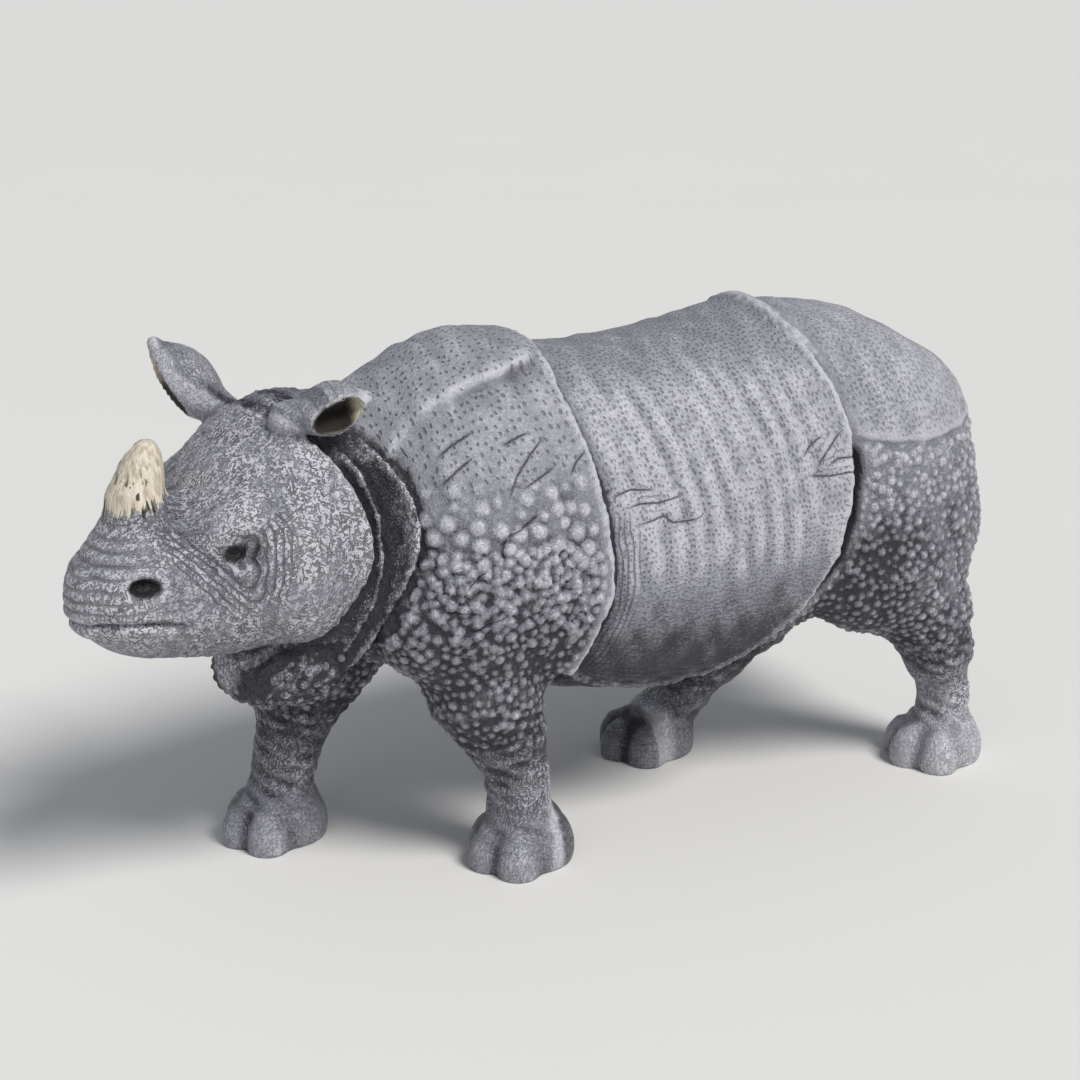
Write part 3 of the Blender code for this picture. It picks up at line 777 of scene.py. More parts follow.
    def horn_grain(self):
        """Upright fibres of the horn."""
        x, y, z = self.h
        angle = np.arctan2(y, x + 85.2) + 0.03 * np.sin(0.9 * z)
        mask = (self.figure.horn(self.h) < 0.8) * step(z, 79.5, 83.0)
        coarse = furrows(angle, 2.0 * np.pi / 17.0, 0.07)
        fine = furrows(angle + 0.05, 2.0 * np.pi / 41.0, 0.04)
        return -(0.10 * coarse + 0.06 * fine) * mask

    def ear_inside(self):
        inner = np.zeros_like(self.p[0])
        for place in EARS:
            cup = self.figure.ear_cup(self.figure.ear_frame(self.h, *place))
            inner = np.maximum(inner, 1.0 - step(cup, 0.15, 0.6))
        return inner

    def ear_depth(self):
        """1 deep inside an ear, near its root, where painted shade lies, and 0 towards its tip."""
        depth = np.zeros_like(self.p[0])
        for place, reach in zip(EARS, (0.64, 0.52)):
            q = self.figure.ear_frame(self.h, *place)
            inside = np.linalg.norm(q, axis=0) < 1.3 * self.figure.ear_length
            along = q[2] / self.figure.ear_length
            depth = np.maximum(depth, inside * (1.0 - step(along, reach, reach + 0.12)))
        return depth

    def carving(self, wave, depth, side, near):
        """Height of all that is carved, for the given fine lines and creases."""
        smooth = np.maximum(self.ear_inside(), step(-self.figure.eyeball(self.h), -0.4, -0.1))
        cuts = 0.16 * furrows(wave, 1.0, 0.24) * depth * (1.0 + 0.5 * step(-self.h[0], 86, 90))
        face = self.eyelids() + self.lips() - cuts
        body = self.ribs() - 0.25 * ridge(side, 1.0, 0.4) * near + self.leather()
        return (face + body) * (1.0 - smooth) + self.horn_grain() + 0.12 * self.nails()


# Meshing

# the field's corners, the width of its first blocks in grid steps, and how near ones are read again
REGION = ((-108.0, -40.0, -4.0), (106.0, 40.0, 114.0))
COARSE_BLOCK = 8
NEAR_BLOCKS = 2.2

# rounds of smoothing that give the skin round a point, near and in the broad
NEAR_ROUNDS = 10
BROAD_ROUNDS = 50


def sampled(field, low, counts, size):
    """The field on a grid. It is read coarsely first, and then only near the surface at each finer step."""
    block = COARSE_BLOCK
    shape = [n // block + 2 for n in counts]
    points = np.indices(shape).reshape(3, -1) * (size * block) + np.array(low)[:, None]
    values = field(points).reshape(shape).astype(np.float32)
    while block > 1:
        near = np.abs(values) < NEAR_BLOCKS * block * size
        for axis in range(3):
            values, near = np.repeat(values, 2, axis), np.repeat(near, 2, axis)
        block //= 2
        where = np.nonzero(near)
        points = np.array(where) * (size * block) + np.array(low)[:, None]
        values[where] = field(points)
    return values[: counts[0], : counts[1], : counts[2]]


def settle(values):
    """Fills corners where two inside samples only touch across a diagonal, which would pinch the mesh."""
    ends = (slice(None, -1), slice(1, None))
    for _ in range(20):
        inside = values < 0
        fill = np.zeros_like(inside)
        for a, b in ((0, 1), (0, 2), (1, 2)):

            def at(i, j):
                pick = [slice(None)] * 3
                pick[a], pick[b] = ends[i], ends[j]
                return tuple(pick)

            first, last = inside[at(0, 0)], inside[at(1, 1)]
            up, down = inside[at(0, 1)], inside[at(1, 0)]
            fill[at(0, 1)] |= first & last & ~up & ~down
            fill[at(0, 0)] |= ~first & ~last & up & down
        if not fill.any():
            return
        values[fill] = -1e-3


def surface(values, low, size):
    """A closed net of quads through the grid's cells that the surface crosses."""
    inside = values < 0
    cells = np.array(values.shape) - 1
    stride = np.array([cells[1] * cells[2], cells[2], 1])
    corners, places, flips = [], [], []
    for axis in range(3):
        others = [i for i in range(3) if i != axis]
        first = tuple(slice(None, -1) if i == axis else slice(1, -1) for i in range(3))
        second = tuple(slice(1, None) if i == axis else slice(1, -1) for i in range(3))
        edge = np.array(np.nonzero(inside[first] != inside[second]))
        edge[others] += 1
        ahead = edge.copy()
        ahead[axis] += 1
        a, b = values[tuple(edge)], values[tuple(ahead)]
        place = edge.astype(float)
        place[axis] += a / (a - b)
        turn = np.zeros((4, 3), int)
        turn[:, others[0]] = (1, 0, 0, 1)
        turn[:, others[1]] = (1, 1, 0, 0)
        corners.append((edge.T[:, None, :] - turn) @ stride)
        places.append(place.T)
        flips.append(inside[tuple(edge)] != (axis != 1))
    corners = np.concatenate(corners)
    places = np.repeat(np.concatenate(places), 4, axis=0)
    _, net = np.unique(corners, return_inverse=True)
    share = 1.0 / np.bincount(net.ravel())
    points = np.stack([np.bincount(net.ravel(), places[:, i]) * share for i in range(3)], axis=1)
    net = net.reshape(-1, 4)
    flips = np.concatenate(flips)
    net[flips] = net[flips][:, ::-1]
    return np.asarray(low) + size * points, net


def new_mesh(name, points, net):
    mesh = bpy.data.meshes.new(name)
    mesh.vertices.add(len(points))
    mesh.vertices.foreach_set("co", points.astype(np.float32).ravel())
    mesh.loops.add(net.size)
    mesh.loops.foreach_set("vertex_index", net.astype(np.int32).ravel())
    mesh.polygons.add(len(net))
    mesh.polygons.foreach_set("loop_start", np.arange(0, net.size, 4, dtype=np.int32))
    mesh.update(calc_edges=True)
    mesh.validate()
    return mesh


def read(collection, name, width):
    values = np.zeros(len(collection) * width, np.float32)
    collection.foreach_get(name, values)
    return values.reshape(-1, width).astype(float)


def write_attribute(mesh, name, values):
    layer = mesh.attributes.get(name) or mesh.attributes.new(name, "FLOAT", "POINT")
    layer.data.foreach_set("value", np.asarray(values, np.float32))


def write_vectors(mesh, name, values):
    layer = mesh.attributes.new(name, "FLOAT_VECTOR", "POINT")
    layer.data.foreach_set("vector", np.asarray(values, np.float32).T.ravel())


def evaluated(obj, name):
    """The object with its modifiers as a new plain mesh. The object is removed."""
    graph = bpy.context.evaluated_depsgraph_get()
    mesh = bpy.data.meshes.new_from_object(obj.evaluated_get(graph))
    mesh.name = name
    bpy.data.objects.remove(obj)
    return mesh


def held(mesh):
    obj = bpy.data.objects.new("work", mesh)
    bpy.context.scene.collection.objects.link(obj)
    return obj


def smoothed(points, edges, rounds):
    """The points after each has moved to the middle of its neighbours, over and over."""
    a, b = edges.T
    share = 1.0 / (np.bincount(a, minlength=len(points)) + np.bincount(b, minlength=len(points)))
    for _ in range(rounds):
        moved = [
            (np.bincount(a, points[b, i], len(points)) + np.bincount(b, points[a, i], len(points))) * share
            for i in range(3)
        ]
        points = 0.3 * points + 0.7 * np.stack(moved, axis=1)
    return points


def write_relief(mesh, part):
    """Writes how far each point stands out of the skin round it: near and in the broad."""
    points = read(mesh.vertices, "co", 3)
    normals = read(mesh.vertex_normals, "vector", 3)
    edges = np.zeros(len(mesh.edges) * 2, np.int32)
    mesh.edges.foreach_get("vertices", edges)
    edges = edges.reshape(-1, 2)
    near = smoothed(points, edges, NEAR_ROUNDS)
    wide = smoothed(near, edges, BROAD_ROUNDS)
    write_attribute(mesh, "relief", ((points - near) * normals).sum(axis=1) / part)
    write_attribute(mesh, "hollow", ((points - wide) * normals).sum(axis=1) / part)


def cut_soles(mesh):
    """Cuts the feet off flat at the ground."""
    shape = bmesh.new()
    shape.from_mesh(mesh)
    everything = shape.verts[:] + shape.edges[:] + shape.faces[:]
    sliced = bmesh.ops.bisect_plane(
        shape, geom=everything, dist=1e-6, plane_co=(0, 0, 0), plane_no=(0, 0, -1), clear_outer=True
    )
    rim = [e for e in sliced["geom_cut"] if isinstance(e, bmesh.types.BMEdge)]
    bmesh.ops.holes_fill(shape, edges=rim, sides=0)
    bmesh.ops.triangulate(shape, faces=[f for f in shape.faces if len(f.verts) > 4])
    shape.to_mesh(mesh)
    shape.free()


def fitted(mesh):
    """Sizes the mesh to the frame's box by its length, centres it there and stands it on the ground."""
    points = read(mesh.vertices, "co", 3)
    low, high = points.min(axis=0), points.max(axis=0)
    scale = (HIGH[0] - LOW[0]) / (high[0] - low[0])
    shift = (LOW + HIGH) / 2.0 - scale * (low + high) / 2.0
    shift[2] = LOW[2]
    mesh.vertices.foreach_set("co", (points * scale + shift).astype(np.float32).ravel())
    mesh.update()


# Nodes


def arithmetic(operation, reflected=False):
    """A method that adds a Math node for two numbers, the other one first if it is reflected."""

    def method(self, other):
        return self.maths(operation, *((other, self) if reflected else (self, other)))

    return method


class Value:
    """A number on a node's socket. Arithmetic on it adds Math nodes."""

    def __init__(self, graph, socket):
        self.graph, self.socket = graph, socket

    def maths(self, operation, *numbers):
        return self.graph.value("ShaderNodeMath", {"operation": operation}, dict(enumerate(numbers)))

    __add__ = __radd__ = arithmetic("ADD")
    __mul__ = __rmul__ = arithmetic("MULTIPLY")
    __sub__, __rsub__ = arithmetic("SUBTRACT"), arithmetic("SUBTRACT", reflected=True)
    __truediv__, __rtruediv__ = arithmetic("DIVIDE"), arithmetic("DIVIDE", reflected=True)
    __pow__ = arithmetic("POWER")
    most, least = arithmetic("MAXIMUM"), arithmetic("MINIMUM")

    def __abs__(self):
        return self.maths("ABSOLUTE", self)

    def off_whole(self):
        """Distance to the nearest whole number."""
        return abs(self.maths("FRACT", self + 0.5) - 0.5)

    def step(self, low, high):
        """0 below low, 1 above high, smooth between them."""
        inputs = {"Value": self, "From Min": low, "From Max": high}
        return self.graph.value("ShaderNodeMapRange", {"interpolation_type": "SMOOTHSTEP"}, inputs)


class Graph:
    """A node tree that is written as expressions."""

    def __init__(self, tree):
        self.tree = tree
        tree.nodes.clear()

    def node(self, kind, settings=None, inputs=None):
        """Adds a node, sets it up, and then fills or links its sockets by name or index."""
        node = self.tree.nodes.new(kind)
        for name, setting in (settings or {}).items():
            setattr(node, name, setting)
        for name, value in (inputs or {}).items():
            self.fill(node.inputs[name], value)
        return node

    def fill(self, socket, value):
        if isinstance(value, Value):
            value = value.socket
        if isinstance(value, bpy.types.NodeSocket):
            self.tree.links.new(value, socket)
        else:
            socket.default_value = value

    def value(self, kind, settings=None, inputs=None, output=0):
        return Value(self, self.node(kind, settings, inputs).outputs[output])

    def attribute(self, name):
        return self.value("ShaderNodeAttribute", {"attribute_name": name}, output="Fac")

    def noise(self, place, scale, detail=2.0, roughness=0.5):
        inputs = {"Vector": place, "Scale": scale, "Detail": detail, "Roughness": roughness}
        return self.value("ShaderNodeTexNoise", None, inputs)

    def dots(self, place, scale, randomness, radius):
        """1 in the middle of round dots scattered over a flat place, 0 between them."""
        inputs = {"Vector": place, "Scale": scale, "Randomness": randomness}
        away = self.value("ShaderNodeTexVoronoi", {"voronoi_dimensions": "2D"}, inputs)
        return 1.0 - (away / radius).step(0.3, 1.1)

    def offset(self, place, step, share):
        """The place, moved by a share of a step vector."""
        inputs = {0: step, 1: (share,) * 3, 2: place}
        return self.node("ShaderNodeVectorMath", {"operation": "MULTIPLY_ADD"}, inputs).outputs[0]

    def stretched(self, place, scale):
        inputs = {"Vector": place, "Scale": scale}
        return self.node("ShaderNodeMapping", {"vector_type": "POINT"}, inputs).outputs[0]

    def dashes(self, place, lean, scale, long, low):
        """1 in short strokes that lean in the flank's plane and are so many times longer than wide."""
        inputs = {"Vector": place, "Rotation": (0.0, math.radians(lean), 0.0), "Scale": (long, 1.0, 1.0)}
        drawn = self.node("ShaderNodeMapping", {"vector_type": "TEXTURE"}, inputs).outputs[0]
        return self.noise(drawn, scale, 1.0).step(low, low + STROKE_EDGE)

    def blend(self, share, first, second):
        """A colour between two colours."""
        node = self.node("ShaderNodeMix", {"data_type": "RGBA", "clamp_factor": True})
        self.fill(node.inputs[0], share)
        self.fill(node.inputs[6], first)
        self.fill(node.inputs[7], second)
        return node.outputs[2]


# how many points are tried in a square as wide as the gap between two
TRIES_PER_GAP = 2.6


def tubercle_tree(material):
    """Geometry Nodes that raise a round bump about each of many points scattered where knobs are wanted."""
    tree = bpy.data.node_groups.new("Tubercles", "GeometryNodeTree")
    graph = Graph(tree)
    tree.interface.new_socket("Geometry", in_out="INPUT", socket_type="NodeSocketGeometry")
    names = ("Spacing", "Radius", "Height", "Small share")
    for name in names:
        tree.interface.new_socket(name, in_out="INPUT", socket_type="NodeSocketFloat")
    tree.interface.new_socket("Geometry", in_out="OUTPUT", socket_type="NodeSocketGeometry")
    given = graph.node("NodeGroupInput").outputs
    spacing, radius, height, small = (Value(graph, given[name]) for name in names)

    def named(name):
        return graph.value("GeometryNodeInputNamedAttribute", {"data_type": "FLOAT"}, {"Name": name})

    # two scatters, with large gaps and with small ones
    wanted, large = named("knobs"), named("knob_size")
    joined = graph.node("GeometryNodeJoinGeometry")
    for gap, share, seed in ((spacing, large, 7), (spacing * small, 1.0 - large, 8)):
        inputs = {
            "Mesh": given["Geometry"],
            "Distance Min": gap,
            "Density Max": TRIES_PER_GAP / (gap * gap),
            "Density Factor": (wanted * share).step(0.05, 0.45),
            "Seed": seed,
        }
        settings = {"distribute_method": "POISSON"}
        points = graph.node("GeometryNodeDistributePointsOnFaces", settings, inputs).outputs["Points"]
        graph.tree.links.new(points, joined.inputs[0])
    scatter = joined.outputs[0]

    nearest = graph.node("GeometryNodeSampleNearest", {"domain": "POINT"}, {"Geometry": scatter}).outputs[0]
    chance = graph.value("FunctionNodeRandomValue", {"data_type": "FLOAT"}, {2: 0.6, 3: 1.2, "Seed": 3}, 1)
    own = chance * (small + (1.0 - small) * large)
    inputs = {"Geometry": scatter, "Value": own, "Index": nearest}
    size = graph.value("GeometryNodeSampleIndex", {"data_type": "FLOAT", "domain": "POINT"}, inputs)
    away = graph.value("GeometryNodeProximity", {"target_element": "POINTS"}, {0: scatter}, "Distance")
    inner = 1.0 - (away / (radius * size)).least(1.0) ** 2.0
    rise = inner**1.2 * size * wanted.step(0.0, 0.8)
    normal = graph.node("GeometryNodeInputNormal").outputs[0]
    offset = graph.node("ShaderNodeVectorMath", {"operation": "SCALE"}, {0: normal, "Scale": rise * height})
    shape = given["Geometry"]
    for kind, settings, inputs in (
        ("GeometryNodeSetPosition", {}, {"Offset": offset.outputs[0]}),
        ("GeometryNodeStoreNamedAttribute", {"data_type": "FLOAT"}, {"Name": "bump", "Value": rise}),
        ("GeometryNodeRealizeInstances", {}, {}),
        ("GeometryNodeSetMaterial", {}, {"Material": material}),
    ):
        shape = graph.node(kind, settings, {"Geometry": shape, **inputs}).outputs["Geometry"]
    graph.node("NodeGroupOutput", None, {"Geometry": shape})
    return tree


def set_inputs(modifier, values):
    """Sets a Geometry Nodes modifier's inputs by their sockets' identifiers."""
    for item in modifier.node_group.interface.items_tree:
        if item.item_type == "SOCKET" and item.in_out == "INPUT" and item.name in values:
            modifier[item.identifier] = values[item.name]


# The paint

# wrinkles: a stroke's length in widths, the softness of its edge, and each layer's lean, scale and threshold
STROKE_LENGTH = 4.5
STROKE_EDGE = 0.07
STROKES = ((25.0, 2.8, 0.565), (85.0, 2.6, 0.565), (145.0, 2.8, 0.575))

# the scale that turns metres into millimetres, and the depth of the finest relief in metres
MILLIMETRES = (1000.0, 1000.0, 1000.0)
FINE_DEPTH = 0.0005


def rgba(colour):
    return (*colour, 1.0)


def painted_vinyl(paint):
    """Grey vinyl with a dark wash in hollows, pale dry brushing on high places, and ivory details, with
    painted shade, painted shadow and painted light laid over it.
    """
    material = bpy.data.materials.new("Painted vinyl")
    material.use_nodes = True
    graph = Graph(material.node_tree)
    metres = graph.node("ShaderNodeTexCoord").outputs["Object"]
    place = graph.stretched(metres, MILLIMETRES)
    flank = graph.node("ShaderNodeAttribute", {"attribute_name": "flank"}).outputs["Vector"]
    relief, hollow, patches, mottle = map(graph.attribute, ("relief", "hollow", "patches", "mottle"))
    large, small, troughs = map(graph.attribute, ("large_pits", "small_pits", "troughs"))
    scales, wrinkled, face = map(graph.attribute, ("scales", "wrinkles", "face"))
    lines, lined, crease, creased = map(graph.attribute, ("lines", "lined", "crease", "creased"))
    shade, shadow, knobs, knob = map(graph.attribute, ("shade", "shadow", "knobs", "bump"))
    eye, ear, ear_depth = map(graph.attribute, ("eye", "ear", "ear_depth"))
    nail, dark, rise = map(graph.attribute, ("nail", "dark", "ivory"))

    # fine skin
    grain = graph.noise(place, 1.6, 3.0, 0.65)
    speckle = graph.noise(place, 3.4, 1.0, 0.5)
    bend = graph.node("ShaderNodeTexNoise", None, {"Vector": place, "Scale": 0.5, "Detail": 2.0})
    bent = graph.offset(place, bend.outputs["Color"], 0.9)
    layers = [graph.dashes(bent, lean, scale, STROKE_LENGTH, low) for lean, scale, low in STROKES]
    strokes = layers[0].most(layers[1]).most(layers[2])
    worn = graph.noise(place, 0.17, 2.0, 0.6).step(0.40, 0.60)
    wrinkles = strokes * wrinkled * (0.62 + worn * 0.38 + patches * 0.10)
    rows = graph.dots(flank, 0.58, 0.55, 0.22) * large
    dots = graph.dots(flank, 0.95, 0.65, 0.27 + troughs * 0.08) * small
    plates = graph.noise(graph.stretched(flank, (0.45, 1.25, 1.0)), 1.0, 1.0).step(0.53, 0.62) * scales
    holes = rows.most(dots * (0.60 + troughs * 0.30)).most(plates * 0.9)
    thin = (1.0 - (lines.off_whole() + (grain - 0.5) * 0.35).step(0.05, 0.20)) * lined
    thin = thin * grain.step(0.28, 0.46)
    cut_in = (1.0 - (abs(crease) + (speckle - 0.5) * 0.3).step(0.04, 0.22)) * creased
    faint = strokes * (1.0 - wrinkled) * (0.10 + knobs * 0.22)
    marks = (wrinkles * 0.86).most(holes * 0.62).most(thin * 0.8).most(cut_in * 0.9).most(faint)

    # the horn
    streak = graph.noise(graph.stretched(place, (1.5, 1.5, 0.1)), 1.0, 3.0, 0.6)
    ivory = (rise + (streak - 0.5) * 7.0).step(-0.5, 0.6)
    fissure = graph.noise(graph.stretched(place, (1.2, 1.2, 0.10)), 0.9, 1.0)
    crack = fissure.step(0.60, 0.64) * (1.0 - rise.step(3.0, 8.0)) * rise.step(-2.0, -1.0)

    # tones
    plain = ivory.most(ear).most(eye)
    tone = relief * 1.1 + hollow * 0.32 + (grain - 0.5) * 0.7 + (speckle - 0.5) * (0.40 + wrinkled * 0.2)
    tone = tone + knob * 0.19 - knobs * (1.0 - knob) * 0.06 + (worn - 0.5) * wrinkled * 0.26
    tone = tone + speckle.step(0.56, 0.68) * (wrinkled - face) * (1.0 - knobs) * 0.38
    # painted shade and painted shadow darken the tone, the shade's negative part is painted light, and the
    # troughs between the ribs take painted shade
    tone = tone + 0.12 + mottle * 0.03 - shade * 0.66 - shadow * 1.0 - troughs * small * 0.07
    body = graph.blend(tone.step(-0.62, 0.06), rgba(paint.wash_and_painted_shade), rgba(paint.hide))
    body = graph.blend(tone.step(0.0, 0.62), body, rgba(paint.highlight))
    body = graph.blend(nail * streak.step(0.4, 0.7) * 0.3, body, rgba(paint.highlight))
    body = graph.blend(marks * 0.82, body, rgba(paint.wash_and_painted_shade))
    body = graph.blend(dark, body, rgba(paint.eye))
    bone = graph.blend(streak.step(0.3, 0.62), rgba(paint.ivory_shade), rgba(paint.ivory))
    body = graph.blend(ivory, body, bone)
    body = graph.blend(crack, body, rgba(paint.crack))
    lining = graph.blend(streak.step(0.35, 0.6), rgba(paint.ivory_shade), rgba(paint.ivory))
    # painted shade deep inside the ears' cups
    lining = graph.blend(ear_depth, lining, rgba(paint.ear_shade))
    body = graph.blend(ear, body, lining)
    body = graph.blend(eye, body, rgba(paint.eye))

    gloss = (1.0 - eye) * (paint.roughness + marks * 0.2 + mottle * 0.03) + eye * 0.12
    skin = (1.0 - marks) * 0.85 + grain * 0.35 + speckle * (0.12 + face * 0.10)
    height = skin * (1.0 - plain) + (streak * 0.5 - crack * 0.8) * ivory
    bump = graph.node("ShaderNodeBump", None, {"Strength": 1.0, "Distance": FINE_DEPTH, "Height": height})
    inputs = {"Base Color": body, "Roughness": gloss, "Normal": bump.outputs[0], "Specular IOR Level": 0.45}
    shader = graph.node("ShaderNodeBsdfPrincipled", None, inputs)
    graph.node("ShaderNodeOutputMaterial", None, {"Surface": shader.outputs[0]})
    return material


def floor_material(colour):
    material = bpy.data.materials.new("Pale floor")
    material.use_nodes = True
    graph = Graph(material.node_tree)
    place = graph.node("ShaderNodeTexCoord").outputs["Object"]
    tint = graph.noise(place, 9.0, 3.0) * 0.06
    shade = graph.blend(tint, rgba(colour), (0.5, 0.5, 0.5, 1.0))
    shader = graph.node("ShaderNodeBsdfPrincipled", None, {"Base Color": shade, "Roughness": 0.85})
    graph.node("ShaderNodeOutputMaterial", None, {"Surface": shader.outputs[0]})
    return material


# What a user would change


def number(name, description, default, **more):
    return FloatProperty(name=name, description=description, default=default, **more)


def length(name, description, default):
    return number(name, description, default, min=0.0, unit="LENGTH", subtype="DISTANCE")


def angle(name, description, degrees):
    return number(name, description, math.radians(degrees), subtype="ANGLE")


def colour(name, description, default):
    return FloatVectorProperty(
        name=name, description=description, default=default, size=3, min=0.0, max=1.0, subtype="COLOR"
    )


class FigurineSizes(bpy.types.PropertyGroup):
    figure_length: length("Figure length", "Length that 200 parts of the proportions make", 0.175)
    horn_height: length("Horn height", "From the horn's root inside the nose to its tip", 0.0149)
    horn_radius: length("Horn radius", "Radius of the horn near its root", 0.0048)
    ear_length: length("Ear length", "From an ear's root to its tip", 0.0155)
    ear_radius: length("Ear radius", "Half of an ear's width", 0.0049)
    ear_wall: length("Ear wall", "Thickness of an ear's side walls", 0.0015)
    foot_radius: length("Foot radius", "Radius of a foot's round pad", 0.0081)
    toe_radius: length("Toe radius", "Radius of one toe", 0.0043)
    tail_length: length("Tail length", "From the tail's root to its end", 0.0320)
    tail_radius: length("Tail radius", "Radius of the tail", 0.0019)
    fold_lip: length("Fold lip", "How far a skin fold's lip stands up", 0.0013)
    fold_groove: length("Fold groove", "How deep the groove beside a lip is", 0.0016)
    collar_flare: length("Collar flare", "How far a collar's rim stands off the neck", 0.0048)
    tubercle_spacing: length("Tubercle spacing", "Least distance between two large tubercles", 0.0025)
    tubercle_radius: length("Tubercle radius", "Radius of a large tubercle", 0.00175)
    tubercle_height: length("Tubercle height", "Height of a large tubercle", 0.00095)
    tubercle_small_share: number("Small tubercles", "Size of a small one as a share of a large one", 0.55)
    grid_step: length("Grid step", "Spacing of the grid that the form is meshed on", 0.00045)
    triangles: IntProperty(
        name="Triangles", description="Triangles kept after thinning", default=194000, min=1000
    )


class FigurinePaint(bpy.types.PropertyGroup):
    # the dark wash colour, also used for painted shade and painted shadow
    wash_and_painted_shade: colour("Dark wash", "Paint that settles in folds and pits", (0.030, 0.028, 0.038))
    hide: colour("Hide", "Main grey of the skin", (0.260, 0.265, 0.298))
    # the dry brushing colour, also used for painted light
    highlight: colour("Dry brushing", "Pale grey on the high places", (0.54, 0.54, 0.585))
    ivory: colour("Ivory", "Upper part of the horn and the ears' lining", (0.67, 0.61, 0.495))
    ivory_shade: colour("Ivory shade", "Darker streaks in the ivory", (0.43, 0.36, 0.27))
    crack: colour("Crack", "Dark cracks in the horn", (0.05, 0.042, 0.035))
    # painted shade deep inside the ears
    ear_shade: colour("Ear shade", "Deep inside the ears", (0.03, 0.024, 0.02))
    eye: colour("Eye", "Glossy eyes", (0.008, 0.007, 0.008))
    roughness: number("Roughness", "Roughness of the plain skin", 0.45)


class FigurineStudio(bpy.types.PropertyGroup):
    azimuth: angle("Azimuth", "The camera's turn about the figure", -28.0)
    elevation: angle("Elevation", "The camera's height angle", 18.0)
    distance: length("Distance", "From the camera to its target", 0.35)
    target_height: length("Target height", "Height of the point that the camera looks at", 0.0521)
    target_ahead: length("Target ahead", "How far that point lies from the middle towards the head", 0.0011)
    lens: number("Lens", "Focal length in millimetres on a 36 mm sensor", 66.67)
    floor: colour("Floor", "Colour of the floor", (0.82, 0.81, 0.79))
    key_power: number("Key light", "Strength of the main light from above", 2.7)
    fill_power: number("Fill light", "Power of the light on the shaded side in watts", 0.5)
    sky: number("Sky", "Strength of the even light from all round", 0.30)


# The steps

# the camera's sensor in millimetres, half the floor's width and the floor's gap below the soles in metres
SENSOR = 36.0
FLOOR_HALF = 6.0
FLOOR_GAP = 0.0001


def modelled(sizes, material):
    """The figure's plain mesh, with the attributes that its paint reads."""
    part = sizes.figure_length / PARTS
    figure = Figure(sizes)
    step_size = sizes.grid_step * 1.0 / part
    low, high = REGION
    counts = [int((high[i] - low[i]) / step_size) + 2 for i in range(3)]
    values = sampled(figure.distance, low, counts, step_size)
    settle(values)
    points, net = surface(values, low, step_size)
    mesh = new_mesh("skin", points, net)

    normals = read(mesh.vertex_normals, "vector", 3)
    skin = Skin(figure, points.T)
    wave, depth = skin.lines()
    side, near = skin.creases()
    points = points + normals * skin.carving(wave, depth, side, near)[:, None]
    mesh.vertices.foreach_set("co", (points * part).astype(np.float32).ravel())
    _, y, z = skin.p
    large_pits, small_pits = skin.pits()
    fields = {
        "knobs": skin.knobs(),
        "knob_size": skin.knob_size(),
        "lines": wave,
        "lined": depth,
        "crease": side,
        "creased": near,
        "troughs": skin.troughs(),
        "large_pits": large_pits,
        "small_pits": small_pits,
        "scales": skin.barrel() * (1.0 - step(z, 46, 64)),
        # painted shade and painted light, and painted shadow in the gaps
        "shade": skin.shade(),
        "shadow": skin.shadow(),
        "face": skin.head,
        "wrinkles": skin.wrinkles(),
        "ivory": skin.ivory(),
        "nail": skin.nails(),
        "ear": skin.ear_inside(),
        "ear_depth": skin.ear_depth(),
        "eye": 1.0 - step(figure.eyeball(skin.h), 0.1, 0.35),
        "dark": 1.0 - step(figure.nostril(skin.h), -0.1, 0.5),
        "patches": crumple(skin.p, 3.4, 51),
        "mottle": crumple(skin.p, 22.0, 52),
    }
    for name, values in fields.items():
        write_attribute(mesh, name, values)
    across = skin.rib_wave() + 0.3 * crumple(skin.p, 3.0, 53)
    z = z - BARREL_MIDDLE
    girth = np.hypot(y, z) * np.arctan2(y, z) + 0.3 * crumple(skin.p, 3.0, 54)
    write_vectors(mesh, "flank", np.array([across, girth, np.zeros_like(z)]))
    mesh.update()

    obj = held(mesh)
    knobs = obj.modifiers.new("Tubercles", "NODES")
    knobs.node_group = tubercle_tree(material)
    inputs = {
        "Spacing": sizes.tubercle_spacing,
        "Radius": sizes.tubercle_radius,
        "Height": sizes.tubercle_height,
        "Small share": sizes.tubercle_small_share,
    }
    set_inputs(knobs, inputs)
    mesh = evaluated(obj, "knobbed")
    write_relief(mesh, part)
    faces = 2 * len(mesh.polygons)
    if faces > sizes.triangles:
        obj = held(mesh)
        obj.modifiers.new("Split", "TRIANGULATE")
        obj.modifiers.new("Thin", "DECIMATE").ratio = sizes.triangles / faces
        mesh = evaluated(obj, "thinned")
    cut_soles(mesh)
    fitted(mesh)
    mesh.shade_smooth()
    return mesh


class FIGURINE_OT_rhinoceros(bpy.types.Operator):
    """Models the rhinoceros, paints it and puts it in the frame"""

    bl_idname = "figurine.rhinoceros"
    bl_label = "Rhinoceros"

    def execute(self, context):
        scene = context.scene
        material = painted_vinyl(scene.figurine_paint)
        mesh = modelled(scene.figurine_sizes, material)
        mesh.name = "rhinoceros_skin"
        mesh.materials.clear()
        mesh.materials.append(material)
        obj = bpy.data.objects.new("rhinoceros_skin", mesh)
        scene.collection.objects.link(obj)
        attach(obj, "root")
        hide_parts(NODE)
        return {"FINISHED"}


def area_light(name, place, target, size, power, tint):
    light = bpy.data.lights.new(name, "AREA")
    light.shape = "DISK"
    light.size, light.energy, light.color = size, power, tint
    obj = bpy.data.objects.new(name, light)
    obj.location = place
    obj.rotation_euler = (Vector(target) - Vector(place)).to_track_quat("-Z", "Y").to_euler()
    bpy.context.scene.collection.objects.link(obj)


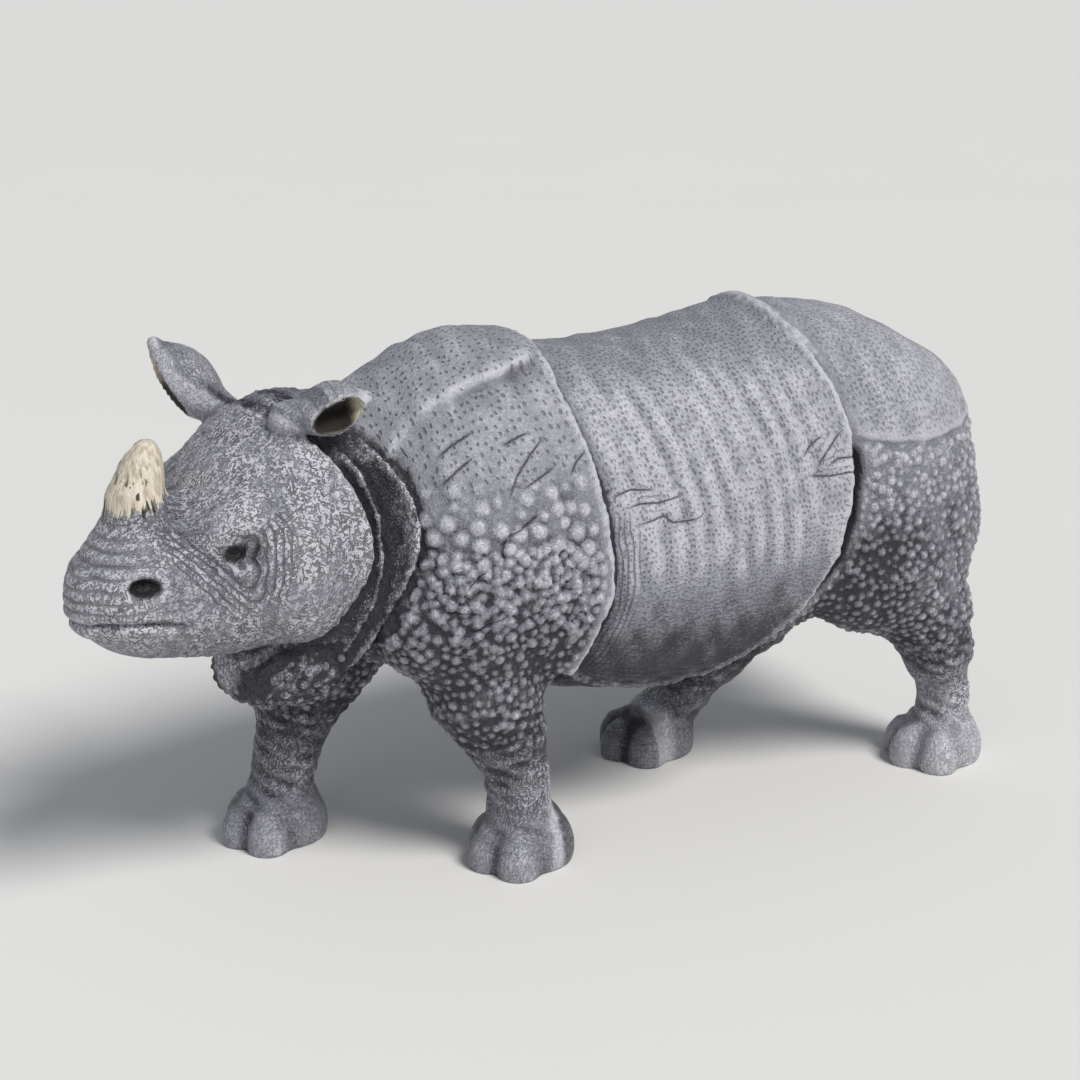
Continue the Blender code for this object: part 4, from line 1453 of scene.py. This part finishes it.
class FIGURINE_OT_stage(bpy.types.Operator):
    """Sets up the floor, the lights and the camera"""

    bl_idname = "figurine.stage"
    bl_label = "Studio"

    def execute(self, context):
        scene, studio = context.scene, context.scene.figurine_studio
        half = FLOOR_HALF
        corners = [(-half, -half, 0), (half, -half, 0), (half, half, 0), (-half, half, 0)]
        floor = bpy.data.meshes.new("Floor")
        floor.from_pydata(corners, [], [(0, 1, 2, 3)])
        floor.materials.append(floor_material(studio.floor))
        floor = bpy.data.objects.new("Floor", floor)
        floor.location.z = LOW[2] - FLOOR_GAP
        scene.collection.objects.link(floor)

        a, e = studio.azimuth, studio.elevation
        back = Vector((math.sin(a) * math.cos(e), -math.cos(a) * math.cos(e), math.sin(e)))
        target = Vector((-studio.target_ahead, 0.0, LOW[2] + studio.target_height))
        camera = bpy.data.cameras.new("Camera")
        camera.sensor_width, camera.lens = SENSOR, studio.lens
        camera.clip_start = 0.01
        camera = bpy.data.objects.new("Camera", camera)
        camera.location = target + back * studio.distance
        camera.rotation_euler = (-back).to_track_quat("-Z", "Y").to_euler()
        scene.collection.objects.link(camera)
        scene.camera = camera

        key = bpy.data.lights.new("Key light", "SUN")
        key.energy, key.angle, key.color = studio.key_power, math.radians(22.0), (1.0, 0.985, 0.96)
        key = bpy.data.objects.new("Key light", key)
        key.rotation_euler = Vector((-0.22, 0.66, -0.80)).to_track_quat("-Z", "Y").to_euler()
        scene.collection.objects.link(key)
        place, target, tint = (-0.55, -0.45, 0.30), (0.0, 0.0, 0.05), (0.93, 0.96, 1.0)
        area_light("Fill light", place, target, 0.5, studio.fill_power, tint)
        world = bpy.data.worlds.new("Studio")
        scene.world = world
        world.use_nodes = True
        sky = world.node_tree.nodes["Background"]
        sky.inputs["Color"].default_value = (0.86, 0.91, 1.0, 1.0)
        sky.inputs["Strength"].default_value = studio.sky
        scene.view_settings.view_transform = "Standard"
        return {"FINISHED"}


class FIGURINE_PT_panel(bpy.types.Panel):
    """Lists the steps in the sidebar"""

    bl_label = "Figurine"
    bl_space_type = "VIEW_3D"
    bl_region_type = "UI"
    bl_category = "Figurine"

    def draw(self, context):
        for group in ("figurine_sizes", "figurine_paint", "figurine_studio"):
            box = self.layout.box()
            settings = getattr(context.scene, group)
            for name in settings.__annotations__:
                box.prop(settings, name)
        for operator in OPERATORS:
            self.layout.operator(operator.bl_idname)


OPERATORS = (FIGURINE_OT_rhinoceros, FIGURINE_OT_stage)
CLASSES = (FigurineSizes, FigurinePaint, FigurineStudio, *OPERATORS, FIGURINE_PT_panel)


def register():
    for cls in CLASSES:
        bpy.utils.register_class(cls)
    bpy.types.Scene.figurine_sizes = PointerProperty(type=FigurineSizes)
    bpy.types.Scene.figurine_paint = PointerProperty(type=FigurinePaint)
    bpy.types.Scene.figurine_studio = PointerProperty(type=FigurineStudio)


def unregister():
    del bpy.types.Scene.figurine_studio
    del bpy.types.Scene.figurine_paint
    del bpy.types.Scene.figurine_sizes
    for cls in reversed(CLASSES):
        bpy.utils.unregister_class(cls)


def main():
    register()
    bpy.ops.figurine.rhinoceros()
    bpy.ops.figurine.stage()


if __name__ == "__main__":
    main()
